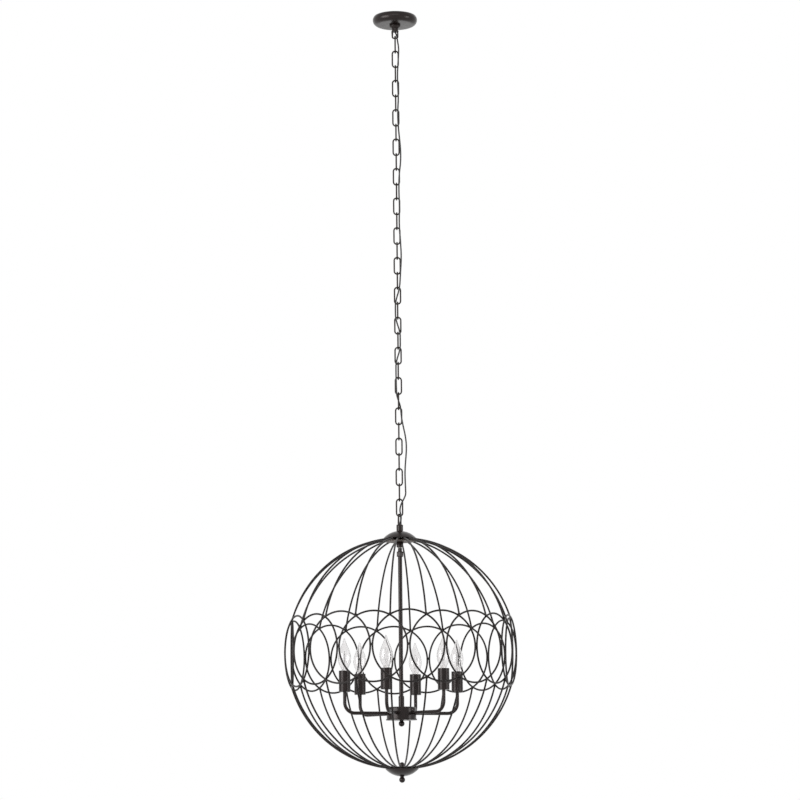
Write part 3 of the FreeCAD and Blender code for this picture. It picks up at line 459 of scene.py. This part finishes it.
for name, top, bottom, body in (
        ("cord_in_nipple", CANOPY_NIPPLE_TOP, CORD_LEAVES_NIPPLE, "ceiling_set"),
        ("cord_in_stem", CORD_ENTERS_ORB, CORD_END, "orb")):
    shape = bmesh.new()
    turned(shape, [(0, bottom), (CORD_RADIUS, bottom), (CORD_RADIUS, top), (0, top)], 16)
    piece(name + "_tube", shape, body, jacket, [name])

# ---------------------------------------------------------------- ceiling side
shape = bmesh.new()
# the spun side rolls in again towards the ceiling
turned(shape, [(9.1, CANOPY_FACE), (43.0, CANOPY_FACE)] + curve_of((46.0, -10.0), 14.0, -80, 42, 26)
       + [(55.2, 0.0), (54.0, 0.0)] + curve_of((46.0, -10.0), 14.0 - SHEET, 40, -84, 18)
       + [(43.0, CANOPY_FACE + SHEET), (9.1, CANOPY_FACE + SHEET)], 96)
piece("canopy_plate", shape, "ceiling_set", bronze_enamel, ["canopy"])

shape = bmesh.new()
turned(shape, [(9.05, -32.0), (11.3, -32.0), (13.6, -29.9)]
       + curve_of((13.8, -27.9), 1.0, -50, 0, 5)
       + [(14.8, -26.6), (14.3, -26.1), (14.8, -25.6), (14.5, -24.3), (9.05, -24.3)], 64)
piece("knurled_collar", shape, "ceiling_set", bronze_enamel, ["screw_collar"])


def cast_loop(bm, foot, top, tip, sign):
    """A bored barrel with a cast bow: the chain hangs on the bar at the tip. Sign is 1 for a bow
    that stands up and -1 for one that hangs."""
    lip = foot - 1.6 * sign
    barrel = [(2.8, top), (8.8, top), (8.8, lip)] + curve_of((7.2, lip), 1.6, 0, 90 * sign, 6) + [
        (4.2, foot), (2.8, foot - 1.4 * sign)]
    turned(bm, barrel, 48)
    side = 7.3
    corner = 4.0
    swell = 1.25
    leg = (abs(tip - foot) - corner - 1.0) * sign
    axis = (0, -sign, 0)
    section = wire_end(bm, LOOP_BAR, (side, 0, foot - 3.0 * sign), (0, 0, sign), 16)
    # each leg is thicker where it leaves the barrel
    section = run(bm, pinch(bm, section, swell), (0, 0, 4.0 * sign))
    section = run(bm, pinch(bm, section, 1 / swell), (0, 0, leg))
    section = bend(bm, section, (side - corner, 0, tip - corner * sign), axis, 90, 8)
    section = run(bm, section, (-2 * (side - corner), 0, 0))
    section = bend(bm, section, (corner - side, 0, tip - corner * sign), axis, 90, 8)
    section = run(bm, section, (0, 0, -leg))
    run(bm, pinch(bm, section, swell), (0, 0, -4.0 * sign))


shape = bmesh.new()
cast_loop(shape, CANOPY_LOOP_FOOT, CANOPY_LOOP_TOP, CANOPY_LOOP_TIP, -1)
piece("canopy_cast_loop", shape, "ceiling_set", bronze_enamel, ["canopy_loop"])


def threaded(bm, radius, bore, bottom, top, pitch=1.0, steps=40):
    """A threaded tube, its thread as fine ridges with a plain run at each end."""
    plain = 0.4
    ridges = []
    height = bottom + plain
    while height < top - plain - pitch:
        ridges += [(radius - 0.35, height), (radius, height + pitch * 0.5)]
        height += pitch
    outline = [(bore, bottom), (radius - 0.4, bottom)] + ridges + [(radius - 0.4, top), (bore, top)]
    turned(bm, outline, steps)


for name, bottom, top, body in (
        ("canopy_nipple", CANOPY_LOOP_TOP, CANOPY_NIPPLE_TOP, "ceiling_set"),
        ("top_nipple", ORB_MIDDLE + COUPLING_BOTTOM - 2.0, ORB_MIDDLE + CAP_TOP, "orb"),
        ("hub_nipple", ORB_MIDDLE + HUB_BOTTOM - SHEET, ORB_MIDDLE + HUB_NIPPLE_TOP, "orb")):
    shape = bmesh.new()
    threaded(shape, NIPPLE_RADIUS, NIPPLE_BORE, bottom, top)
    piece(name + "_thread", shape, body, zinc, [name], edge=0)

# ---------------------------------------------------------------- chain
def add_link(bm, number, wire=2.1, width=20.2, length=40.9):
    """One oval link of bent wire, its butt seam as a narrow neck half way up one side."""
    part = bmesh.new()
    side = width / 2 - wire
    rise = length / 2 + wire - side
    neck, seam, taper = 0.82, 0.3, 0.2
    plain = rise - seam / 2 - taper
    section = wire_end(part, wire, (side, 0, -rise), (0, 0, 1), 10)
    section = run(part, section, (0, 0, plain))
    section = pinch(part, run(part, section, (0, 0, taper)), neck)
    section = run(part, section, (0, 0, seam))
    section = pinch(part, run(part, section, (0, 0, taper)), 1 / neck)
    section = run(part, section, (0, 0, plain))
    section = bend(part, section, (0, 0, rise), ARC_AXIS, 180, 10)
    section = run(part, section, (0, 0, -2 * rise))
    bend(part, section, (0, 0, -rise), ARC_AXIS, 180, 10)
    middle = FIRST_LINK_TOP - (number - 1) * LINK_PITCH - length / 2
    add_part(bm, part, around(90.0 if number % 2 else 0.0, middle))


for name, body, node_name, numbers in (
        ("upper_chain_link", "upper_link", "first_link", (1,)),
        ("chain_of_links", "chain", "chain_links", range(2, LINKS)),
        ("lower_chain_link", "lower_link", "last_link", (LINKS,))):
    shape = bmesh.new()
    for number in numbers:
        add_link(shape, number)
    piece(name, shape, body, chain_lacquer, [node_name], edge=0, sharp=60)

# ---------------------------------------------------------------- orb
shape = bmesh.new()
foot = CAP_TOP + LOOP_FOOT_RISE
cast_loop(shape, foot, CAP_TOP, foot + LOOP_BOW_RISE + LOOP_BAR, 1)
move(shape, around(ORB_LOOP_TURN, ORB_MIDDLE))
piece("orb_cast_loop", shape, "orb", bronze_enamel, ["orb_loop"])


def dome(bm, sign, hole):
    """A spun cap: a slice of a sphere that stands on its rim, with a hole at its crown. Sign is 1
    for the cap above the orb and -1 for the one below."""
    high = CAP_TOP - CAP_RIM
    ball = (CAP_RADIUS ** 2 + high ** 2) / (2 * high)
    steep = math.degrees(math.asin(CAP_RADIUS / ball))
    outer = curve_of((0.0, high - ball), ball, 90.0 - steep, 84.0, 20)
    inner = curve_of((0.0, high - ball), ball - SHEET, 84.0, 91.5 - steep, 16)
    outline = [(42.4, 0.0), (43.4, 0.0)] + outer + [(hole, high), (hole, high - SHEET)] + inner
    turned(bm, [(r, (CAP_RIM + max(z, 0.0)) * sign) for r, z in outline], 96, (0, 0, ORB_MIDDLE))


for name, sign, hole in (("top_cap", 1, NIPPLE_HOLE), ("bottom_cap", -1, ROD_HOLE)):
    shape = bmesh.new()
    dome(shape, sign, hole)
    piece(name + "_dome", shape, "orb", bronze_enamel, [name])

for name, radius, hole, low, high in (
        ("top_plate", 39.0, NIPPLE_HOLE, PLATE_BOTTOM, PLATE_TOP),
        ("bottom_plate", 36.0, ROD_HOLE, -CAP_RIM - 2.5, -CAP_RIM)):
    shape = bmesh.new()
    turned(shape, [(hole, low), (radius - 0.5, low), (radius, low + 0.5), (radius, high - 0.5),
                   (radius - 0.5, high), (hole, high)], 80, (0, 0, ORB_MIDDLE))
    # the discs take the enamel whose paler colour is painted light from below
    piece(name + "_disc", shape, "orb", plate_enamel_painted_light, [name])

shape = bmesh.new()
turned(shape, [(5.1, COUPLING_BOTTOM), (7.6, COUPLING_BOTTOM), (9.0, COUPLING_BOTTOM + 1.4),
               (9.0, PLATE_BOTTOM - 1.2), (8.4, PLATE_BOTTOM), (5.1, PLATE_BOTTOM)], 48,
       (0, 0, ORB_MIDDLE))
piece("top_coupling_sleeve", shape, "orb", bronze_enamel, ["top_coupling"])

shape = bmesh.new()
turned(shape, [(4.5, STEM_BOTTOM), (5.5, STEM_BOTTOM), (5.5, COUPLING_BOTTOM - 2.0),
               (4.5, COUPLING_BOTTOM - 2.0)], 40, (0, 0, ORB_MIDDLE))
piece("stem_tube", shape, "orb", bronze_enamel, ["stem"])


def hex_nut(bm, flats, bottom, top):
    """A hexagon nut with its end faces' corners turned off."""
    corner = flats / math.sqrt(3) / 1000
    bmesh.ops.create_cone(bm, cap_ends=True, segments=6, radius1=corner, radius2=corner,
                          depth=(top - bottom) / 1000,
                          matrix=Matrix.Translation((0, 0, (top + bottom) / 2000)))
    rims = [e for e in bm.edges if abs(e.verts[0].co.z - e.verts[1].co.z) < 1e-6]
    bmesh.ops.bevel(bm, geom=rims, offset=0.9 / 1000, segments=2, profile=0.5, affect="EDGES",
                    material=-1)


shape = bmesh.new()
hex_nut(shape, 17.0, PLATE_BOTTOM - 39.5, PLATE_BOTTOM - 26.0)
move(shape, around(0.0, ORB_MIDDLE))
piece("stem_hexagon_nut", shape, "orb", bronze_enamel, ["stem_nut"], edge=0)


def ring_circle(sphere):
    """A ring's distance from the axis and its radius, so that neighbours just touch on a sphere."""
    half = math.radians(RING_TURN / 2)
    slope = math.tan(half)
    margin = SECTION_REACH / math.cos(half) + 0.1
    square = 1 + slope * slope
    distance = (margin * slope + math.sqrt(sphere * sphere * square - margin * margin)) / square
    return distance, distance * slope - margin


for name, sphere, phase in (("outer_rings", ORB_RADIUS, RING_PHASE),
                            ("inner_rings", ORB_RADIUS - LAYER_STEP, RING_PHASE + RING_TURN / 2)):
    shape = bmesh.new()
    distance, radius = ring_circle(sphere)
    for k in range(RINGS // 2):
        part = bmesh.new()
        section = wire_end(part, WIRE, (radius, -distance, 0), (0, 0, 1), 12)
        bmesh.ops.spin(part, geom=section + ends_of(section), cent=(0, -distance / 1000, 0),
                       axis=ARC_AXIS, angle=math.tau, steps=72, use_merge=True)
        # the weld to the next ring of this layer
        bead(part, (radius + WIRE + 0.1, -distance, 3.5), 1.9, (1.2, 1, 1.9))
        add_part(shape, part, around(phase + RING_TURN * k, ORB_MIDDLE))
    piece(name + "_wire", shape, "orb", wire_enamel, [name], edge=0, sharp=60)

# a rib runs from the crossing of two rings up to the cap's rim, then folds inwards over the plate
distance, radius = ring_circle(ORB_RADIUS)
aside = distance * math.tan(math.radians(RIB_TURN / 2))
crossing = math.degrees(math.asin(math.sqrt(radius ** 2 - aside ** 2) / ORB_RADIUS))
RIB_SPHERE = ORB_RADIUS - LAYER_STEP / 2
RIB_START = crossing + 0.75
RIB_END = math.degrees(math.acos(CAP_RADIUS / RIB_SPHERE))
RIB_FOLD = 1.5
RIB_TIP = 17.0
for name, sign in (("upper_ribs", 1), ("lower_ribs", -1)):
    shape = bmesh.new()
    for k in range(RINGS):
        part = bmesh.new()
        low = math.radians(RIB_START)
        place = (RIB_SPHERE * math.cos(low), 0, RIB_SPHERE * math.sin(low))
        heading = (-math.sin(low), 0, math.cos(low))
        section = wire_end(part, WIRE, place, heading, 12)
        close(part, section)
        bead(part, place, 2.9, (0.95, 1.25, 1.1))
        section = bend(part, section, (0, 0, 0), ARC_AXIS, RIB_END - RIB_START - RIB_FOLD, 40)
        high = math.radians(RIB_END - RIB_FOLD)
        tip = Vector((RIB_SPHERE * math.cos(high), 0, RIB_SPHERE * math.sin(high)))
        inward = Vector((-math.sin(high), 0, math.cos(high)))
        # the fold: an arc that ends level, on the plate's face
        steep = math.atan2(inward.z, -inward.x)
        small = (RIB_LEVEL - tip.z) / (1 - math.cos(steep))
        centre = (tip.x - small * math.sin(steep), 0, tip.z - small * math.cos(steep))
        section = bend(part, section, centre, ARC_AXIS, math.degrees(steep), 5)
        section = run(part, section, (RIB_TIP - centre[0], 0, 0))
        close(part, section)
        if sign < 0:
            move(part, Matrix.Diagonal((1, 1, -1, 1)))
        add_part(shape, part, around(RING_PHASE + RIB_TURN / 2 - 90.0 + RIB_TURN * k, ORB_MIDDLE))
    piece(name + "_wire", shape, "orb", wire_enamel, [name], edge=0, sharp=60)

# the dome nut stands on the bottom plate, inside the orb
shape = bmesh.new()
seat = -CAP_RIM
turned(shape, [(3.15, seat), (6.6, seat), (7.2, seat + 0.6), (7.2, seat + 9.6)]
       + curve_of((0.0, seat + 9.6), 7.2, 4, 90, 12) + [(0, seat + 9.8), (3.15, seat + 9.8)], 48,
       (0, 0, ORB_MIDDLE))
piece("bottom_dome_nut_cap", shape, "orb", bronze_enamel, ["bottom_dome_nut"])

shape = bmesh.new()
threaded(shape, 2.9, 0.0, ORB_MIDDLE - CAP_TOP, ORB_MIDDLE + seat + 9.5, 0.7, 24)
piece("bottom_rod_thread", shape, "orb", zinc, ["bottom_rod"], edge=0)


def ball_finial(bm, seat):
    """A turned ball on a short waisted neck."""
    ball = 7.8
    collar = 5.7
    centre = seat - 3.0 - math.sqrt(8.0 ** 2 - collar ** 2)
    profile = [(0, seat), (collar, seat), (collar, seat - 0.8), (5.0, seat - 1.3),
               (4.8, seat - 2.2)]
    profile += curve_of((0.0, centre), ball, 50, -89, 24) + [(0.0, centre - ball)]
    turned(bm, profile, 48, (0, 0, ORB_MIDDLE))


for name, seat in (("bottom_finial", -CAP_TOP), ("hub_finial", HUB_BOTTOM - SHEET)):
    shape = bmesh.new()
    ball_finial(shape, seat)
    piece(name + "_ball", shape, "orb", bronze_enamel, [name])

# ---------------------------------------------------------------- lamp cluster
shape = bmesh.new()
turned(shape, [(NIPPLE_HOLE, HUB_TOP), (34.5, HUB_TOP)]
       + curve_of((34.5, HUB_TOP - 4.0), 4.0, 84, 0, 8)
       + [(38.5, HUB_BOTTOM), (37.3, HUB_BOTTOM), (37.3, HUB_TOP - 4.4)]
       + curve_of((34.2, HUB_TOP - 4.3), 3.1, 0, 90, 6) + [(NIPPLE_HOLE, HUB_TOP - SHEET)], 96,
       (0, 0, ORB_MIDDLE))
for k in range(ARMS):
    # a small spun boss where each arm enters
    part = bmesh.new()
    ring = wire_end(part, 4.6, (37.6, 0, ARM_LEVEL), (1, 0, 0), 24)
    ring = pinch(part, run(part, pinch(part, ring, 1.28), (1.0, 0, 0)), 0.96)
    pinch(part, run(part, ring, (0.4, 0, 0)), 0.84)
    add_part(shape, part, around(ARM_PHASE + ARM_TURN * k, ORB_MIDDLE))
piece("hub_bowl", shape, "orb", bronze_enamel, ["hub_body"])

shape = bmesh.new()
low = HUB_BOTTOM - SHEET
turned(shape, [(NIPPLE_HOLE, low), (39.6, low)] + curve_of((39.6, low + 0.9), 0.9, -90, 0, 4)
       + curve_of((39.7, low + 2.8), 0.8, 0, 90, 4)
       + [(38.8, low + 3.6), (38.8, low + SHEET), (NIPPLE_HOLE, low + SHEET)], 96,
       (0, 0, ORB_MIDDLE))
piece("hub_cover_pan", shape, "orb", bronze_enamel, ["hub_cover"])

shape = bmesh.new()
turned(shape, [(5.1, HUB_TOP), (7.5, HUB_TOP), (7.5, HUB_TOP + 27.5), (6.4, HUB_TOP + 29.0),
               (5.75, HUB_TOP + 29.0), (5.75, HUB_TOP + 14.6), (5.1, HUB_TOP + 14.6)], 48,
       (0, 0, ORB_MIDDLE))
piece("stem_coupling_sleeve", shape, "orb", bronze_enamel, ["stem_coupling"])

shape = bmesh.new()
for side in (-17.0, 17.0):
    part = bmesh.new()
    bmesh.ops.create_cone(part, cap_ends=True, segments=24, radius1=5.4 / 1000, radius2=2.6 / 1000,
                          depth=19.0 / 1000, matrix=Matrix.Translation((0, 0, 9.5 / 1000)))
    flutes = [f for f in part.faces if abs(f.normal.z) < 0.9]
    bmesh.ops.inset_individual(part, faces=flutes, thickness=0.2 / 1000, depth=-0.3 / 1000)
    add_part(shape, part, Matrix.Translation((side / 1000, 0, (ORB_MIDDLE + HUB_BOTTOM) / 1000)))
piece("twist_connectors", shape, "orb", orange_nylon, ["hub_connectors"],
      edge=0)

for k in range(ARMS):
    shape = bmesh.new()
    section = wire_end(shape, ARM_TUBE, (ARM_START, 0, ARM_LEVEL), (1, 0, 0), 20)
    section = run(shape, section, (ARM_REACH - ARM_BEND - ARM_START, 0, 0))
    section = bend(shape, section, (ARM_REACH - ARM_BEND, 0, ARM_LEVEL + ARM_BEND), ARC_AXIS, 90,
                   16)
    run(shape, section, (0, 0, CUP_BOTTOM + 1.3 - ARM_LEVEL - ARM_BEND))
    move(shape, around(ARM_PHASE + ARM_TURN * k, ORB_MIDDLE))
    piece("arm_tube_%d" % (k + 1), shape, "orb", bronze_enamel,
          ["arm_%d" % (k + 1)], edge=0, sharp=60)


def socket_cup(bm):
    """A drawn cup, and the pressed washer that holds it to the arm from below."""
    turned(bm, [(5.15, CUP_BOTTOM), (13.8, CUP_BOTTOM)]
           + curve_of((13.8, CUP_BOTTOM + 1.2), 1.2, -88, 0, 5)
           + [(15.0, CUP_TOP - 0.4), (14.6, CUP_TOP), (14.0, CUP_TOP - 0.4),
              (14.0, CUP_BOTTOM + 1.6), (13.6, CUP_BOTTOM + 1.0), (5.15, CUP_BOTTOM + 1.0)],
           64, (ARM_REACH, 0, 0))
    turned(bm, [(4.9, CUP_BOTTOM + 0.02), (4.9, CUP_BOTTOM + 0.9), (7.2, CUP_BOTTOM + 0.9),
                (7.6, CUP_BOTTOM + 0.3), (7.6, CUP_BOTTOM + 0.02)], 32, (ARM_REACH, 0, 0))


def lampholder(bm):
    """An insulating holder with its well for the screw base."""
    top = CUP_TOP - 1.2
    turned(bm, [(0, CUP_BOTTOM + 1.7), (12.4, CUP_BOTTOM + 1.7), (12.4, top - 2.4),
                (11.9, top - 2.0), (12.6, top - 1.4), (12.6, top - 0.6), (11.8, top), (7.4, top),
                (6.9, top - 0.7), (6.15, top - 1.4), (6.15, top - 22.6), (0, top - 22.6)],
           48, (ARM_REACH, 0, 0))


for name, node_name, fill, finish, slot in (
        ("socket_cups", "socket_cups", socket_cup, bronze_enamel, "bronze_paint"),
        ("socket_holders", "lampholders", lampholder, phenolic, "holder_phenolic")):
    shape = bmesh.new()
    for k in range(ARMS):
        part = bmesh.new()
        fill(part)
        add_part(shape, part, around(ARM_PHASE + ARM_TURN * k, ORB_MIDDLE))
    piece(name, shape, "orb", finish, [node_name], edge=0.2)

# the lamp glass's outline: radius, and height above the glass's foot
FLAME = [(7.5, 0.0), (7.6, 2.2), (8.9, 6.2), (11.0, 10.5), (13.3, 14.8), (15.3, 19.8), (16.6, 25.2),
         (17.0, 30.5), (16.8, 35.6), (16.0, 41.2), (14.5, 47.4), (12.3, 53.8), (9.6, 60.4),
         (7.1, 66.2), (5.1, 71.4), (3.7, 76.0), (2.6, 80.0), (1.7, 82.8)]
GLASS_FOOT = BULB_SEAT + 1.0
GLASS_WALL = 0.7
SHELL_PITCH = 2.3
for k in range(ARMS):
    lamp = "lamp_%d" % (k + 1)
    turn = around(ARM_PHASE + ARM_TURN * k, ORB_MIDDLE)
    at = (ARM_REACH, 0, 0)
    shape = bmesh.new()
    outer = [(r, GLASS_FOOT + z) for r, z in FLAME + [(0.8, 83.8), (0.0, 84.0)]]
    inner = [(max(r - GLASS_WALL, 0.3), GLASS_FOOT + z) for r, z in FLAME]
    turned(shape, outer + [(0.0, GLASS_FOOT + 82.9)] + inner[::-1], 64, at)
    move(shape, turn)
    piece("bulb_envelope_%d" % (k + 1), shape, lamp, glass,
          ["bulb_glass_%d" % (k + 1)], edge=0, sharp=80)

    # screw shell, its insulated tip and the solder contact under it
    shape = bmesh.new()
    ridges = []
    height = BULB_SEAT - 15.0
    while height < BULB_SEAT - 2.0:
        ridges += [(5.3, height), (5.75, height + 0.6), (5.75, height + 1.1)]
        height += SHELL_PITCH
    turned(shape, [(0, BULB_SEAT - 22.0), (2.4, BULB_SEAT - 22.0), (2.7, BULB_SEAT - 20.6),
                   (3.2, BULB_SEAT - 20.2), (5.0, BULB_SEAT - 16.6)] + ridges
           + [(5.3, BULB_SEAT - 0.6), (7.3, BULB_SEAT + 0.1), (7.5, BULB_SEAT + 0.4),
              (7.3, BULB_SEAT + 0.9), (0, BULB_SEAT + 0.9)], 40, at)
    move(shape, turn)
    piece("bulb_screw_base_%d" % (k + 1), shape, lamp, brass,
          ["bulb_base_%d" % (k + 1)], edge=0)

    # inside the glass: the pressed stem, then its lead wires and the looped filament
    shape = bmesh.new()
    stem = [(0, 0), (6.2, 0), (5.2, 3.5), (3.2, 9.0), (2.2, 16.0), (1.5, 22.0), (0, 22.6)]
    turned(shape, [(r, GLASS_FOOT + z) for r, z in stem], 32, at)
    move(shape, turn)
    piece("bulb_glass_stem_%d" % (k + 1), shape, lamp, glass, edge=0, sharp=80)

    shape = bmesh.new()
    for side in (-1, 1):
        lead = wire_end(shape, 0.3, (ARM_REACH, side * 1.6, GLASS_FOOT + 14.0), (0, 0, 1), 6)
        for across, up in ((2.6, 14.0), (1.6, 8.0), (-0.6, 1.2)):
            lead = run(shape, lead, (0, side * across, up))
    mast = wire_end(shape, 0.28, (ARM_REACH, 0, GLASS_FOOT + 21.0), (0, 0, 1), 6)
    run(shape, mast, (0, 0, 31.0))
    coil = wire_end(shape, 0.32, (ARM_REACH, -5.2, GLASS_FOOT + 37.0), (0, 0.4, 1), 6)
    for across, up in ((1.6, 7.0), (2.4, 6.0), (1.2, 2.4), (1.2, -2.4), (2.4, -6.0), (1.6, -7.0)):
        coil = run(shape, coil, (0, across, up))
    move(shape, turn)
    piece("bulb_filament_%d" % (k + 1), shape, lamp, tungsten, edge=0, sharp=60)

# ---------------------------------------------------------------- room, light and camera, in metres
FLOOR_LEVEL = -3.6
FLOOR_REACH = 9.0
AMBIENT = 0.3


def seen_or_not(tree):
    """1 for a ray from the camera, a reflection or through glass, and 0 for one that lights."""
    ray = node(tree, "ShaderNodeLightPath").outputs
    direct = node(tree, "ShaderNodeMath", {0: ray["Is Camera Ray"], 1: ray["Is Glossy Ray"]},
                  operation="MAXIMUM")
    either = node(tree, "ShaderNodeMath", {0: direct.outputs[0], 1: ray["Is Transmission Ray"]},
                  operation="MAXIMUM")
    return either.outputs[0]


def studio_white():
    """Smooth painted studio board: pure white to the eye and in reflections, off-white where it
    lights the object."""
    made, tree, shader, place = new_finish("matt white studio board")
    grain = node(tree, "ShaderNodeTexNoise", {"Vector": place}, Scale=40.0)
    colour_between(tree, shader, grain.outputs["Fac"], "#f4f4f3", "#f8f8f7")
    shader.inputs["Roughness"].default_value = 0.9
    glow = node(tree, "ShaderNodeEmission", Strength=1.0, Color=(1, 1, 1, 1))
    blend = node(tree, "ShaderNodeMixShader", {0: seen_or_not(tree), 1: shader.outputs[0],
                                               2: glow.outputs[0]})
    tree.links.new(blend.outputs[0], tree.nodes["Material Output"].inputs["Surface"])
    return made


board = studio_white()
shape = bmesh.new()
bmesh.ops.create_grid(shape, x_segments=2, y_segments=2, size=FLOOR_REACH,
                      matrix=Matrix.Translation((0, 0, FLOOR_LEVEL)))
mesh = bpy.data.meshes.new("studio_floor")
shape.to_mesh(mesh)
shape.free()
mesh.materials.append(board)
floor = bpy.data.objects.new("studio_floor", mesh)
bpy.context.scene.collection.objects.link(floor)

world = bpy.data.worlds.new("pale studio")
bpy.context.scene.world = world
world.use_nodes = True
sky = world.node_tree
air = sky.nodes["Background"]
air.inputs["Color"].default_value = (1, 1, 1, 1)
level = node(sky, "ShaderNodeMapRange", {"Value": seen_or_not(sky)}, To_Min=AMBIENT, To_Max=1.0)
sky.links.new(level.outputs["Result"], air.inputs["Strength"])


def soft_lamp(name, place, target, width, height, power):
    """A rectangular lamp that faces its target: sizes in metres, power in watts."""
    light = bpy.data.lights.new(name, "AREA")
    light.shape = "RECTANGLE"
    light.size = width
    light.size_y = height
    light.energy = power
    made = bpy.data.objects.new(name, light)
    made.location = place
    made.rotation_euler = (Vector(target) - Vector(place)).to_track_quat("-Z", "Y").to_euler()
    bpy.context.scene.collection.objects.link(made)


middle = (0, 0, ORB_MIDDLE / 1000)
soft_lamp("left window", (-2.6, -2.0, -1.2), middle, 2.2, 2.4, 84)
soft_lamp("right fill", (3.0, -1.2, -1.4), middle, 1.0, 2.0, 24)
soft_lamp("front sky", (0.0, -3.2, 0.6), middle, 2.2, 1.2, 12)

# the camera fitted to the photograph: below the orb, looking slightly up
CAMERA_PLACE = (0.00393, -7.5079, (ORB_MIDDLE - 500.8) / 1000)
CAMERA_RISE = 8.856
CAMERA_ROLL = -0.552
camera = bpy.data.cameras.new("photographer")
camera.sensor_width = 36.0
camera.lens = 129.05
camera.clip_end = 60.0
eye = bpy.data.objects.new("photographer", camera)
bpy.context.scene.collection.objects.link(eye)
eye.matrix_world = (Matrix.Translation(CAMERA_PLACE)
                    @ Matrix.Rotation(math.radians(90.0 + CAMERA_RISE), 4, "X")
                    @ Matrix.Rotation(math.radians(CAMERA_ROLL), 4, "Z"))
bpy.context.scene.camera = eye
bpy.context.scene.view_settings.view_transform = "Standard"
